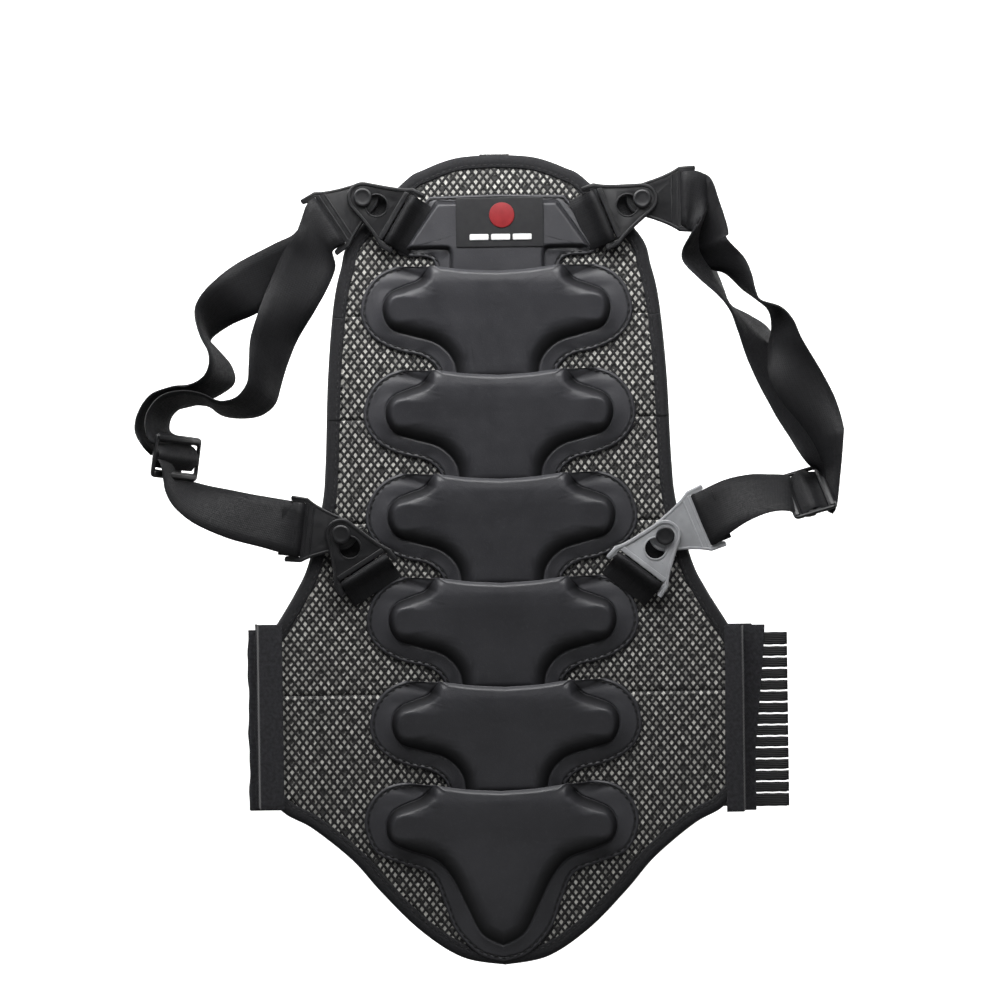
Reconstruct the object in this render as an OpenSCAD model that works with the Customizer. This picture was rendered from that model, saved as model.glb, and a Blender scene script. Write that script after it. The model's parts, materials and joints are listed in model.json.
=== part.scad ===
// Back protector: a padded mesh panel in six flexing sections, seven overlapping moulded
// plates down the spine, four keyhole connectors, two shoulder straps and two waist belts.
//
// Frame, in millimetres: +Z runs up towards the neck, +X to the right when the plates are
// seen from outside, and +Y towards the wearer. The origin is on the spine line, in the
// middle of the thoracic section's wearer-side face, so everything outside lies at y < 0.

/* [Panel] */
// Height of one flexing section, which is also the spacing of the spine plates
pitch = 72.3; // [68:0.1:76]
// Thickness of the foam core with its lining
foam_t = 7.5; // [6:0.5:9]
// Thickness of the outer spacer mesh
mesh_t = 1.5; // [1:0.1:2]
// Width of the binding tape seen from outside
binding_w = 10; // [6:1:14]
// Thickness of the binding tape
binding_t = 1; // [0.6:0.1:1.2]
// Gap between neighbouring sections along a flex line
flex_gap = 2.4; // [2:0.1:3]

/* [Plates] */
// Thickness of a plate's sewn flange
flange_t = 2; // [1:0.5:3]
// Height of a plate's top edge above the outer mesh
plate_rise = 14; // [12:0.5:15]
// Height of a plate's neck above the outer mesh
neck_rise = 6; // [5:0.5:7]
// Wall of the moulded plate covers
cover_wall = 2.5; // [2:0.25:3]
// How far a plate's top edge lies below its flex line
lip_drop = 6; // [5:0.5:8]
// How far a neck is tucked under the top edge of the plate below it
tuck = 8; // [6:0.5:9]

/* [Webbing and buckles] */
// Width of all shoulder webbing
web_w = 38; // [38:0.5:40]
// Thickness of the webbing
web_t = 1.6; // [1.2:0.1:1.8]
// Radius of a stud's neck
stud_r = 3.3; // [3:0.1:3.6]
// Radius of a stud's mushroom head
stud_head_r = 6.5; // [6:0.1:6.7]
// Distance between the two ends of a keyhole
keyhole_travel = 11; // [10:0.5:12]
// Thickness of a keyhole tab
keyhole_t = 3.2; // [2.8:0.1:3.4]
// Thickness of a strap tab
strap_tab_t = 2.5; // [2:0.1:2.8]

/* [Waist belt] */
// Height of both belt wings
belt_h = 126.7; // [110:0.1:130]
// Length of a folded belt wing
wing_len = 181; // [150:1:181]
// Thickness of a belt wing
wing_t = 3; // [2:0.5:3.5]
// Distance from the spine to the fold of the left belt
left_fold_x = 178; // [174:1:182]
// Distance from the spine to the fold of the right belt
right_fold_x = 200; // [196:1:204]

/* [Hidden] */
front_y = -(foam_t + mesh_t);
hinge_z = [for (k = [0 : 5]) pitch * (1.5 - k)];
neck_flex_z = hinge_z[0];
shoulder_flex_z = hinge_z[1];
lower_flex_z = hinge_z[2];
lumbar_flex_z = hinge_z[3];
belt_top_z = -145.7;
belt_bottom_z = belt_top_z - belt_h;
tail_flex_z = belt_bottom_z - 2.6;
tail_plate_z = hinge_z[5] - lip_drop;
far = 400;
fit_gap = 0.2;
curve_steps = 3;
$fn = 64;

// Depths of the connector parts, measured outwards from the wearer-side face
stud_back_y = -11.6;
stud_flange_t = 1;
strap_tab_y = stud_back_y - stud_flange_t - fit_gap;
keyhole_y = strap_tab_y - strap_tab_t - 0.4;
stud_head_y = keyhole_y - keyhole_t - 0.3;
stud_head_t = 2.5;
slot_clearance = 0.05;

// ---------------------------------------------------------------- outlines

// A smooth curve through the given points, in curve_steps short chords between each pair
function curve(points) = len(points) < 3 ? points : [
    for (i = [0 : len(points) - 2], s = [0 : curve_steps - 1])
        let (
            a = points[max(i - 1, 0)],
            b = points[i],
            c = points[i + 1],
            d = points[min(i + 2, len(points) - 1)],
            t = s / curve_steps
        )
        0.5 * (2 * b + (c - a) * t + (2 * a - 5 * b + 4 * c - d) * t * t
            + (3 * b - a - 3 * c + d) * t * t * t),
    points[len(points) - 1]
];

// The closed outline whose right half is given from the top middle to the bottom middle
function both_sides(half) = concat(
    half,
    [for (i = [len(half) - 2 : -1 : 1]) [-half[i].x, half[i].y]]
);

function unit(v) = v / norm(v);

// A clockwise outline moved inwards by d
function inset(points, d) = [
    for (i = [0 : len(points) - 1])
        let (
            before = unit(points[i] - points[(i + len(points) - 1) % len(points)]),
            after = unit(points[(i + 1) % len(points)] - points[i]),
            along = unit(before + after)
        )
        points[i] + d * [along.y, -along.x] / max(0.7, along * after)
];

// The outline of a mirrored shape moved inwards by d. Its right half is a list of
// stretches from the top middle to the bottom middle, each a smooth curve of its own.
function shape(stretches, d = 0) =
    let (
        corners = inset(both_sides([for (part = stretches) each part]), d),
        starts = [for (k = [0 : len(stretches)]) len([for (j = [0 : 1 : k - 1]) each stretches[j]])]
    )
    both_sides([
        for (k = [0 : len(stretches) - 1])
            each curve([for (i = [starts[k] : starts[k + 1] - 1]) corners[i]])
    ]);

// The panel: a rounded neck, sloping shoulders, a waist, belt roots and a tail tongue
panel = [
    [
        [0, 184.7], [27, 182.6], [49, 175], [64, 166], [100.5, 128], [108.5, 106], [114, 80],
        [118.5, 30], [121, -30], [124, -60], [134, -100], [144, -121], [158, -144], [166, -158]
    ],
    [
        [164.5, -262], [152, -274.5], [133, -285], [105.6, -307.5], [85.9, -330], [59, -357],
        [30, -376], [0, -381.6]
    ]
];

// A spine plate's raised pad and its flange, with z = 0 at the middle of its top edge
spine_pad = [
    [
        [0, 0], [22, 0.8], [44, 3.4], [53, -0.5], [63, -7], [75, -13], [80.5, -23], [78, -33],
        [67, -41], [50, -46.5], [37, -56], [30.5, -66], [29.5, -72]
    ],
    [[0, -72]]
];
spine_flange = [
    [
        [0, 1], [46, 4.5], [67, 3.5], [83, -3], [93, -15], [95.8, -27], [92.5, -40],
        [82, -51], [61, -56.5], [46, -63.5], [41, -67]
    ],
    [[0, -67]]
];
tail_pad = [
    [
        [0, 0], [22, 0.8], [44, 4], [54, 2], [64, -5], [75, -11], [81.5, -22], [78, -34],
        [66, -41], [46.5, -48], [35, -61], [26, -79], [15, -100], [0, -108.5]
    ]
];
tail_flange = [
    [
        [0, 1], [48, 5.5], [72, 5.5], [86, -1], [94.5, -14], [95, -28], [87, -43.5],
        [68, -51.5], [50, -59], [41, -78], [33, -98], [17, -114.5], [0, -119.7]
    ]
];
yoke_flange = [
    [0, 159], [47, 157], [58, 143], [68, 125], [68.5, 118], [63, 114.8], [48, 114], [42, 110],
    [0, 110]
];
yoke_pad = [
    [0, 153], [42, 153], [64, 121], [63, 119.5], [34, 119.5], [32, 116], [32, 109], [0, 109]
];

// ---------------------------------------------------------------- building blocks

// Extrudes an outline drawn in the XZ plane, from depth y outwards by t
module slab(y, t) {
    translate([0, y, 0]) rotate([90, 0, 0]) linear_extrude(t) children();
}

// Keeps what lies between two heights
module band(low, high) {
    intersection() {
        children();
        translate([-far, -far, low]) cube([2 * far, 2 * far, high - low]);
    }
}

// One section of the panel, from one flex line to the next, leaving half a gap at each
module section_band(low, high) {
    band(low + flex_gap / 2, high - flex_gap / 2) children();
}

module foam_section(low, high) {
    section_band(low, high) union() {
        slab(0, foam_t) polygon(shape(panel, binding_w));
        slab(-binding_t, foam_t - binding_t) polygon(shape(panel, binding_t));
    }
}

module mesh_section(low, high) {
    section_band(low, high)
        slab(-foam_t, mesh_t) polygon(shape(panel, binding_t));
}

// The tape folds over the panel's edge, flush with the lining and proud of the mesh
module binding_section(low, high) {
    section_band(low, high) difference() {
        slab(0, -front_y + binding_t) polygon(shape(panel));
        slab(far / 2, far) polygon(shape(panel, binding_w));
        slab(-binding_t, -front_y - binding_t) polygon(shape(panel, binding_t));
    }
}

// ---------------------------------------------------------------- plates

// The saw-tooth side view of a plate, high at its top edge and low at its neck.
// shrink moves the outer face inwards for the insert and the hollow.
module side_view(length, shrink) {
    high = front_y - plate_rise + shrink;
    low = front_y - neck_rise + shrink;
    rotate([90, 0, 90]) linear_extrude(2 * far, center = true) polygon([
        [front_y, 8], [high + 1, 8], [high + 1, 0], [high, -7], [high + 1, -15],
        [low - 2, -48], [low, -64], [low, -length], [front_y, -length]
    ]);
}

// The opening under a plate's top edge that the neck above slides into
module neck_pocket() {
    pocket_w = 74;
    translate([-pocket_w / 2, front_y - plate_rise + cover_wall + 1, -tuck - 6])
        cube([pocket_w, plate_rise - cover_wall, tuck + 20]);
}

// The tongue that carries a neck under the top edge of the plate below
module neck_tongue() {
    half_w = 29.5;
    lift = 1;
    start = -pitch + lip_drop + flex_gap / 2;
    translate([-half_w, front_y - neck_rise, -pitch - tuck])
        cube([2 * half_w, neck_rise - lift, start + pitch + tuck]);
}

module plate_cover(pad, flange, length, flange_end, tongue) {
    difference() {
        union() {
            band(flange_end, far) slab(front_y, flange_t) polygon(shape(flange));
            band(flange_end, far) intersection() {
                slab(front_y, plate_rise) polygon(shape(pad));
                side_view(length, 0);
            }
        }
        intersection() {
            slab(front_y, plate_rise) polygon(shape(pad, cover_wall));
            side_view(length - cover_wall, cover_wall);
            band(flange_end + cover_wall, -cover_wall) cube(2 * far, center = true);
        }
        neck_pocket();
    }
    if (tongue) neck_tongue();
}

module plate_insert(pad, length, flange_end) {
    intersection() {
        slab(front_y - fit_gap, plate_rise)
            polygon(shape(pad, cover_wall + fit_gap));
        side_view(length - cover_wall - fit_gap, cover_wall + fit_gap);
        band(flange_end + cover_wall + fit_gap, -tuck - 6 - fit_gap)
            cube(2 * far, center = true);
    }
}

module spine_plate(k) {
    flange_end = -pitch + lip_drop + flex_gap / 2;
    color("#3b3b3c") translate([0, 0, hinge_z[k] - lip_drop])
        plate_cover(spine_pad, spine_flange, pitch, flange_end, true);
}

module spine_insert(k) {
    flange_end = -pitch + lip_drop + flex_gap / 2;
    color("#8a8a86") translate([0, 0, hinge_z[k] - lip_drop])
        plate_insert(spine_pad, pitch, flange_end);
}

// The tail plate's upper part reaches over the lumbar section, so it stands just clear of it,
// and its tip lies over the binding tape
module tail_plate() {
    clearance = 0.8;
    tip_overlap_z = -350;
    color("#3b3b3c") difference() {
        translate([0, 0, tail_plate_z])
            plate_cover(tail_pad, tail_flange, 130, -130, false);
        translate([-far, front_y - clearance, tail_flex_z - flex_gap])
            cube([2 * far, 2 * clearance, far]);
        translate([-far, front_y - binding_t - 0.05, tip_overlap_z - far])
            cube([2 * far, 2 * binding_t, far]);
    }
}

module insert_tail() {
    lift = 0.8;
    color("#8a8a86") difference() {
        translate([0, 0, tail_plate_z]) plate_insert(tail_pad, 130, -130);
        translate([-far, front_y - lift, tail_flex_z - flex_gap])
            cube([2 * far, 2 * lift, far]);
    }
}

// The neck yoke is a raised trapezoid whose short neck goes under the first plate
module yoke_plate() {
    rise = 7;
    color("#3b3b3c") {
        slab(front_y, flange_t) polygon(both_sides(yoke_flange));
        slab(front_y, rise) polygon(both_sides(yoke_pad));
        translate([0, 0, hinge_z[0] - lip_drop + pitch]) neck_tongue();
    }
}

// A plain rubber patch with a simple round boss and bars, sewn on the yoke
module yoke_patch() {
    patch_w = 64;
    patch_h = 31;
    patch_y = front_y - 7;
    middle_z = 136.5;
    relief = 0.8;
    boss_r = 8.8;
    bar_w = 12;
    bar_h = 3;
    bar_gap = 2;
    color("#2a2a2b") {
        translate([0, 0, middle_z]) slab(patch_y, 1) square([patch_w, patch_h], center = true);
    }
    color("#b22222") translate([2, 0, middle_z + 5]) slab(patch_y - 1, relief) circle(r = boss_r);
    color("white") for (place = [-1 : 1])
        translate([2 + place * (bar_w + bar_gap), 0, middle_z - 10])
            slab(patch_y - 1, relief) square([bar_w, bar_h], center = true);
}

// ---------------------------------------------------------------- connectors

// A connector place is [stud x, stud z, keyhole direction, strap direction], in degrees
// from +X towards +Z
upper_left = [-91.8, 154.7, 149, 213];
upper_right = [102.4, 151.1, 22, 0];
lower_left = [-110.1, -79.1, 122, 173];
lower_right = [115.1, -83.2, 52, 22];

module at(place, direction) {
    translate([place[0], 0, place[1]]) rotate([0, -direction, 0]) children();
}

// Outline of a tab: round about the stud and widening along -x to a bar with two ears
module tab_outline(nose_r, bar_x, ear_x, half_w) {
    nose = [for (a = [-80 : 10 : 80]) nose_r * [cos(a), sin(a)]];
    polygon(concat(
        nose,
        [
            [-0.4 * bar_x, 0.72 * half_w], [-bar_x + 4, half_w - 2], [-bar_x + 1, half_w + 3],
            [-ear_x, half_w + 3], [-ear_x, half_w - 2], [-ear_x + 3, half_w - 5],
            [-ear_x + 3, 5 - half_w], [-ear_x, 2 - half_w], [-ear_x, -half_w - 3],
            [-bar_x + 1, -half_w - 3], [-bar_x + 4, 2 - half_w], [-0.4 * bar_x, -0.72 * half_w]
        ]
    ));
}

module keyhole_tab(place) {
    slot_r = stud_r + slot_clearance;
    at(place, place[2]) difference() {
        slab(keyhole_y, keyhole_t) tab_outline(11, 26, 34, 21);
        slab(keyhole_y + 1, keyhole_t + 2) {
            circle(r = slot_r);
            translate([-keyhole_travel, -slot_r]) square([keyhole_travel, 2 * slot_r]);
            translate([-keyhole_travel, 0]) circle(r = stud_head_r + 0.5);
            translate([-28.5, 0]) square([3.5, web_w + 0.6], center = true);
        }
    }
}

// The webbing that hangs a keyhole tab, sewn down at its inner end. A narrow tongue of it
// runs on behind the keyhole, under the stud.
module anchor(place) {
    reach = 32.6;
    wrap_end = 27.8;
    gathered_w = web_w - 5;
    backing_w = 20;
    backing_l = 26;
    layer_y = keyhole_y - keyhole_t - fit_gap;
    at(place, place[2]) {
        translate([-reach, 0, 0]) {
            slab(front_y - binding_t - fit_gap, 1.2)
                translate([0, -gathered_w / 2]) square([reach - wrap_end, gathered_w]);
        }
        translate([-29, 0, 0]) slab(front_y - binding_t - fit_gap, 1.2)
            translate([0, -backing_w / 2]) square([backing_l, backing_w]);
        translate([-29.2, 0, 0])
            slab(front_y - binding_t - fit_gap, -layer_y + front_y + binding_t + fit_gap + 1.2)
                translate([0, -gathered_w / 2]) square([1.4, gathered_w]);
        translate([-reach, 0, 0])
            slab(layer_y, 1.2) translate([0, -gathered_w / 2]) square([reach - wrap_end, gathered_w]);
    }
}

module stud(place) {
    color("#1d1d1e") at(place, 0) {
        slab(stud_back_y, stud_flange_t) circle(r = stud_head_r);
        slab(stud_back_y, -stud_head_y + stud_back_y) circle(r = stud_r);
        slab(stud_head_y, stud_head_t) circle(r = stud_head_r);
    }
}

module strap_tab(place) {
    color("#1d1d1e") at(place, place[3] + 180) difference() {
        slab(strap_tab_y, strap_tab_t) tab_outline(11, 25, 36, 20.2);
        slab(strap_tab_y + 1, strap_tab_t + 2) {
            circle(r = stud_r + slot_clearance);
            translate([-28.5, 0]) square([4, web_w + 0.6], center = true);
        }
    }
}

// The end of a shoulder strap, looped round the bar of its strap tab and sewn
module strap_end(place) {
    length = 26;
    front_layer_y = strap_tab_y - strap_tab_t - fit_gap;
    back_layer_y = strap_tab_y + fit_gap + web_t;
    color("#161617") at(place, place[3] + 180) translate([-27.5 - length, 0, 0]) {
        slab(front_layer_y, web_t) translate([0, -web_w / 2]) square([length, web_w]);
        slab(back_layer_y, web_t) translate([0, -web_w / 2]) square([length, web_w]);
        translate([length - web_t, 0, 0])
            slab(back_layer_y, back_layer_y - front_layer_y + web_t)
                translate([0, -web_w / 2]) square([web_t, web_w]);
    }
}

// ---------------------------------------------------------------- shoulder straps

// A flat run of webbing along a line of points, with the width seen from outside
module run(points, width, y) {
    line = curve(points);
    last = len(line) - 1;
    function side(i, s) =
        let (along = unit(line[min(i + 1, last)] - line[max(i - 1, 0)]))
        line[i] + s * width / 2 * [-along.y, along.x];
    slab(y, web_t) polygon(concat(
        [for (i = [0 : last]) side(i, 1)],
        [for (i = [last : -1 : 0]) side(i, -1)]
    ));
}

outer_run_y = -16.5;
inner_run_y = -11;

module straps_shoulder() {
    color("#161617") section_band(shoulder_flex_z, far) {
        run([[-145, 92], [-153, 70], [-162, 47], [-164, 34]], 32, outer_run_y);
        run([[-166, 104], [-188, 88], [-200, 62], [-202, 34]], 26, inner_run_y);
        run([[170, 105], [184, 86], [200, 60], [210, 30]], 32, outer_run_y);
        run([[147, 104], [163, 86], [177, 66], [186, 30]], 26, inner_run_y);
    }
}

module straps_thoracic() {
    color("#161617") section_band(lower_flex_z, shoulder_flex_z) {
        run([[-164, 42], [-167, 22], [-180, 10], [-194, 6]], 24, outer_run_y);
        run([[-203, 42], [-207, 30], [-218, 20]], 24, inner_run_y);
        run([[209, 42], [222, 14], [229, -2]], 28, outer_run_y);
        run([[184, 42], [197, 20], [206, -2]], 24, inner_run_y);
    }
}

module straps_lower_back() {
    color("#161617") section_band(lumbar_flex_z, lower_flex_z) {
        run([[-178, -70], [-196, -65], [-210, -58]], 30, outer_run_y);
        run([[176, -58], [184, -55], [190, -53]], 32, outer_run_y);
    }
}

// A three-bar webbing adjuster. turn gives its long axis, from +X towards +Z, and tilt
// turns it about the webbing that runs through it.
module slider(x, z, turn, tilt) {
    slider_w = 44;
    slider_h = 31;
    slider_t = 3;
    slot_w = 39;
    slot_h = 6;
    middle_y = -12;
    color("#1d1d1e") translate([x, middle_y, z]) rotate([0, -turn, 0]) rotate([0, 0, tilt])
        difference() {
            slab(slider_t / 2, slider_t) square([slider_w, slider_h], center = true);
            slab(slider_t, 2 * slider_t) for (row = [-1, 1])
                translate([0, 7 * row]) square([slot_w, slot_h], center = true);
        }
}

// ---------------------------------------------------------------- waist belt

base_y = 2.5;
base_t = 2;
wing_y = base_y + 1.3 + wing_t;

// Belt sides are given as -1 for the left and 1 for the right
module belt_base(side, fold_x) {
    root_x = 140;
    stop = 2;
    translate([side > 0 ? root_x : -fold_x + stop, base_y, belt_bottom_z]) mirror([0, 1, 0])
        cube([fold_x - stop - root_x, base_t, belt_h]);
}

module belt_wing(side, fold_x) {
    translate([side > 0 ? fold_x - wing_len : -fold_x, wing_y, belt_bottom_z])
        mirror([0, 1, 0]) cube([wing_len, wing_t, belt_h]);
}

module belt_left_base() { color("#1a1a1b") belt_base(-1, left_fold_x); }
module belt_left_wing() { color("#1a1a1b") belt_wing(-1, left_fold_x); }
module belt_right_base() { color("#1a1a1b") belt_base(1, right_fold_x); }
module belt_right_wing() { color("#1a1a1b") belt_wing(1, right_fold_x); }

patch_l = 50;
patch_edge = 8;

// The hook patch lies on the left wing's inner face, near its free end
module belt_hook() {
    hook_t = 1.1;
    color("#101010")
        translate([-left_fold_x + wing_len - patch_l - patch_edge, wing_y - wing_t - hook_t,
            belt_bottom_z + patch_edge])
            cube([patch_l, hook_t, belt_h - 2 * patch_edge]);
}

// The loop patch lies on the right wing's outer face, near its free end
module belt_loop() {
    loop_t = 1.5;
    color("#202020")
        translate([right_fold_x - wing_len + patch_edge, wing_y, belt_bottom_z + patch_edge])
            cube([patch_l, loop_t, belt_h - 2 * patch_edge]);
}

// ---------------------------------------------------------------- nodes

foam_colour = "#9a9a94";
mesh_colour = "#b9b7aa";
binding_colour = "#151516";

module foam_neck() { color(foam_colour) foam_section(neck_flex_z, far); }
module foam_shoulder() { color(foam_colour) foam_section(shoulder_flex_z, neck_flex_z); }
module foam_thoracic() { color(foam_colour) foam_section(lower_flex_z, shoulder_flex_z); }
module foam_lower_back() { color(foam_colour) foam_section(lumbar_flex_z, lower_flex_z); }
module foam_lumbar() { color(foam_colour) foam_section(tail_flex_z, lumbar_flex_z); }
module foam_tail() { color(foam_colour) foam_section(-far - 1, tail_flex_z); }
module mesh_neck() { color(mesh_colour) mesh_section(neck_flex_z, far); }
module mesh_shoulder() { color(mesh_colour) mesh_section(shoulder_flex_z, neck_flex_z); }
module mesh_thoracic() { color(mesh_colour) mesh_section(lower_flex_z, shoulder_flex_z); }
module mesh_lower_back() { color(mesh_colour) mesh_section(lumbar_flex_z, lower_flex_z); }
module mesh_lumbar() { color(mesh_colour) mesh_section(tail_flex_z, lumbar_flex_z); }
module mesh_tail() { color(mesh_colour) mesh_section(-far - 1, tail_flex_z); }
module binding_neck() { color(binding_colour) binding_section(neck_flex_z, far); }
module binding_shoulder() { color(binding_colour) binding_section(shoulder_flex_z, neck_flex_z); }
module binding_thoracic() { color(binding_colour) binding_section(lower_flex_z, shoulder_flex_z); }
module binding_lower_back() { color(binding_colour) binding_section(lumbar_flex_z, lower_flex_z); }
module binding_lumbar() { color(binding_colour) binding_section(tail_flex_z, lumbar_flex_z); }
module binding_tail() { color(binding_colour) binding_section(-far - 1, tail_flex_z); }
module inserts_lumbar() { spine_insert(3); spine_insert(4); }
module anchors_upper() { color("#161617") { anchor(upper_left); anchor(upper_right); } }
module anchors_lower() { color("#161617") { anchor(lower_left); anchor(lower_right); } }
module keyhole_tabs_upper() {
    color("#1d1d1e") { keyhole_tab(upper_left); keyhole_tab(upper_right); }
}
module keyhole_tabs_lower() {
    color("#1d1d1e") keyhole_tab(lower_left);
    color("#8f9092") keyhole_tab(lower_right);
}

foam_neck();
foam_shoulder();
foam_thoracic();
foam_lower_back();
foam_lumbar();
foam_tail();
mesh_neck();
mesh_shoulder();
mesh_thoracic();
mesh_lower_back();
mesh_lumbar();
mesh_tail();
binding_neck();
binding_shoulder();
binding_thoracic();
binding_lower_back();
binding_lumbar();
binding_tail();
yoke_plate();
yoke_patch();
spine_plate(0);  // plate_1
spine_plate(1);  // plate_2
spine_plate(2);  // plate_3
spine_plate(3);  // plate_4
spine_plate(4);  // plate_5
tail_plate();
spine_insert(0);  // insert_1
spine_insert(1);  // insert_2
spine_insert(2);  // insert_3
inserts_lumbar();
insert_tail();
anchors_upper();
anchors_lower();
keyhole_tabs_upper();
keyhole_tabs_lower();
stud(upper_left);  // stud_upper_left
stud(upper_right);  // stud_upper_right
stud(lower_left);  // stud_lower_left
stud(lower_right);  // stud_lower_right
strap_tab(upper_left);  // strap_tab_upper_left
strap_tab(upper_right);  // strap_tab_upper_right
strap_tab(lower_left);  // strap_tab_lower_left
strap_tab(lower_right);  // strap_tab_lower_right
strap_end(upper_left);  // strap_end_upper_left
strap_end(upper_right);  // strap_end_upper_right
strap_end(lower_left);  // strap_end_lower_left
strap_end(lower_right);  // strap_end_lower_right
straps_shoulder();
straps_thoracic();
straps_lower_back();
slider(-224.6, -24, -8, 50);  // slider_left
slider(215.3, -54, 106, 45);  // slider_right
belt_left_base();
belt_left_wing();
belt_hook();
belt_right_base();
belt_right_wing();
belt_loop();
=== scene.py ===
"""The looks of the back protector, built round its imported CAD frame.

Lengths in this script are millimetres in the CAD frame: +X right and +Z up when the plates are
seen from outside, -Y outwards, and the origin on the wearer-side face of the thoracic section.
add_mesh() turns them into metres.
"""

import json
import math

import bmesh
import bpy
import numpy as np
from mathutils import Euler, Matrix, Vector


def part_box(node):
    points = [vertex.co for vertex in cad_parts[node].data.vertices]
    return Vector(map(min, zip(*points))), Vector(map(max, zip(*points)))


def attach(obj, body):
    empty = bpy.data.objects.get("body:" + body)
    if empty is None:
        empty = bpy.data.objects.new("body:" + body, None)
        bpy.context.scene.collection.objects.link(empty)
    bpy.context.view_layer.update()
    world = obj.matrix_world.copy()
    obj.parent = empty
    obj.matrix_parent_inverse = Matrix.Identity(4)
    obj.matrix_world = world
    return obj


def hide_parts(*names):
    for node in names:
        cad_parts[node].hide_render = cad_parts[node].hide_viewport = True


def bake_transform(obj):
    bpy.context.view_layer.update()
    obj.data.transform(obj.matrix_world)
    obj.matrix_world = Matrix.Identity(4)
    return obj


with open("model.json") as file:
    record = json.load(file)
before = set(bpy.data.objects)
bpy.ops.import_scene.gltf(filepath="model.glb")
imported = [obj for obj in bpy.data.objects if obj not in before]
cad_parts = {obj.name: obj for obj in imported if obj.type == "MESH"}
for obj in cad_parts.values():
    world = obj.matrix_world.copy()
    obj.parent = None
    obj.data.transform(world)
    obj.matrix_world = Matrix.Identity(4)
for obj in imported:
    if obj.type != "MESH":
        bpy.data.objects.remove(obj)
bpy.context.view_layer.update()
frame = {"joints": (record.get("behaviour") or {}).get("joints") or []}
joints = {joint["name"]: joint for joint in frame["joints"]}


# ---------------------------------------------------------------- places taken from the frame


def box_mm(node):
    """Lowest and highest corner of a CAD node, in millimetres."""
    low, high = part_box(node)
    return [1000 * v for v in low], [1000 * v for v in high]


def joint_place(name):
    """The point on a joint's axis, in millimetres."""
    return [1000 * v for v in joints[name]["pos_m"]]


SECTIONS = ["neck", "shoulder", "thoracic", "lower_back", "lumbar", "tail"]
FLEX_JOINTS = ["neck_flex", "shoulder_flex", "lower_back_flex", "lumbar_flex", "tail_flex"]
FLEX_Z = [joint_place(name)[2] for name in FLEX_JOINTS]
PITCH = FLEX_Z[0] - FLEX_Z[1]
MESH_Y = box_mm("mesh_thoracic")[0][1]
TOP_Z = box_mm("binding_neck")[1][2]
TIP_Z = box_mm("binding_tail")[0][2]
BINDING_Y = box_mm("binding_thoracic")[0][1]
BELT_LOW, BELT_HIGH = box_mm("belt_left_base")


# ---------------------------------------------------------------- outlines and mesh helpers


def smooth(points, steps):
    """A Catmull-Rom curve through points of any dimension, ends included."""
    p = np.array(points, float)
    if len(p) < 3:
        return p
    out = []
    for i in range(len(p) - 1):
        a, b, c, d = p[max(i - 1, 0)], p[i], p[i + 1], p[min(i + 2, len(p) - 1)]
        for s in range(steps):
            t = s / steps
            out.append(
                0.5 * (2 * b + (c - a) * t + (2 * a - 5 * b + 4 * c - d) * t**2
                       + (3 * b - a - 3 * c + d) * t**3)
            )
    out.append(p[-1])
    return np.array(out)


def both_sides(half):
    """A closed outline from its right half, which runs from the top middle to the bottom."""
    half = np.array(half, float)
    mirrored = half[-2:0:-1] * [-1, 1] if abs(half[-1][0]) < 1e-6 else half[:0:-1] * [-1, 1]
    return np.vstack([half, mirrored])


def resample(points, count, closed=True):
    """count points spaced evenly along a polyline."""
    p = np.array(points, float)
    if closed:
        p = np.vstack([p, p[:1]])
    lengths = np.concatenate([[0], np.cumsum(np.linalg.norm(np.diff(p, axis=0), axis=1))])
    wanted = np.linspace(0, lengths[-1], count + 1 if closed else count)
    out = np.stack([np.interp(wanted, lengths, p[:, k]) for k in range(p.shape[1])], axis=1)
    return out[:-1] if closed else out


def unit_rows(rows):
    """Each row scaled to length one."""
    return rows / np.maximum(np.linalg.norm(rows, axis=1, keepdims=True), 1e-9)


def inward_normals(points, closed):
    """Unit normals to the right of a clockwise path, which is its inside."""
    p = np.array(points, float)
    if closed:
        along = np.roll(p, -1, 0) - np.roll(p, 1, 0)
    else:
        along = np.gradient(p, axis=0)
    along = unit_rows(along)
    return np.stack([along[:, 1], -along[:, 0]], axis=1)


def inset(points, distance):
    """A closed outline moved inwards."""
    return np.array(points) + distance * inward_normals(points, closed=True)


def distance_to(points, outline):
    """Distance from each point to a closed outline."""
    a = np.array(outline, float)
    b = np.roll(a, -1, 0)
    ab = b - a
    best = np.full(len(points), 1e9)
    for i in range(len(a)):
        ap = points - a[i]
        t = np.clip(ap @ ab[i] / max(ab[i] @ ab[i], 1e-12), 0, 1)
        best = np.minimum(best, np.linalg.norm(ap - t[:, None] * ab[i], axis=1))
    return best


def ray_hit(centre, direction, outline):
    """Where a ray from centre leaves a closed outline that is star-shaped about it."""
    a = np.array(outline, float) - centre
    b = np.roll(a, -1, 0)
    cross_a = direction[0] * a[:, 1] - direction[1] * a[:, 0]
    cross_b = direction[0] * b[:, 1] - direction[1] * b[:, 0]
    best = None
    for i in np.nonzero((cross_a <= 0) != (cross_b <= 0))[0]:
        t = cross_a[i] / (cross_a[i] - cross_b[i])
        hit = a[i] + t * (b[i] - a[i])
        reach = hit @ direction
        if reach > 0 and (best is None or reach > best):
            best = reach
    return centre + direction * best


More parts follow.
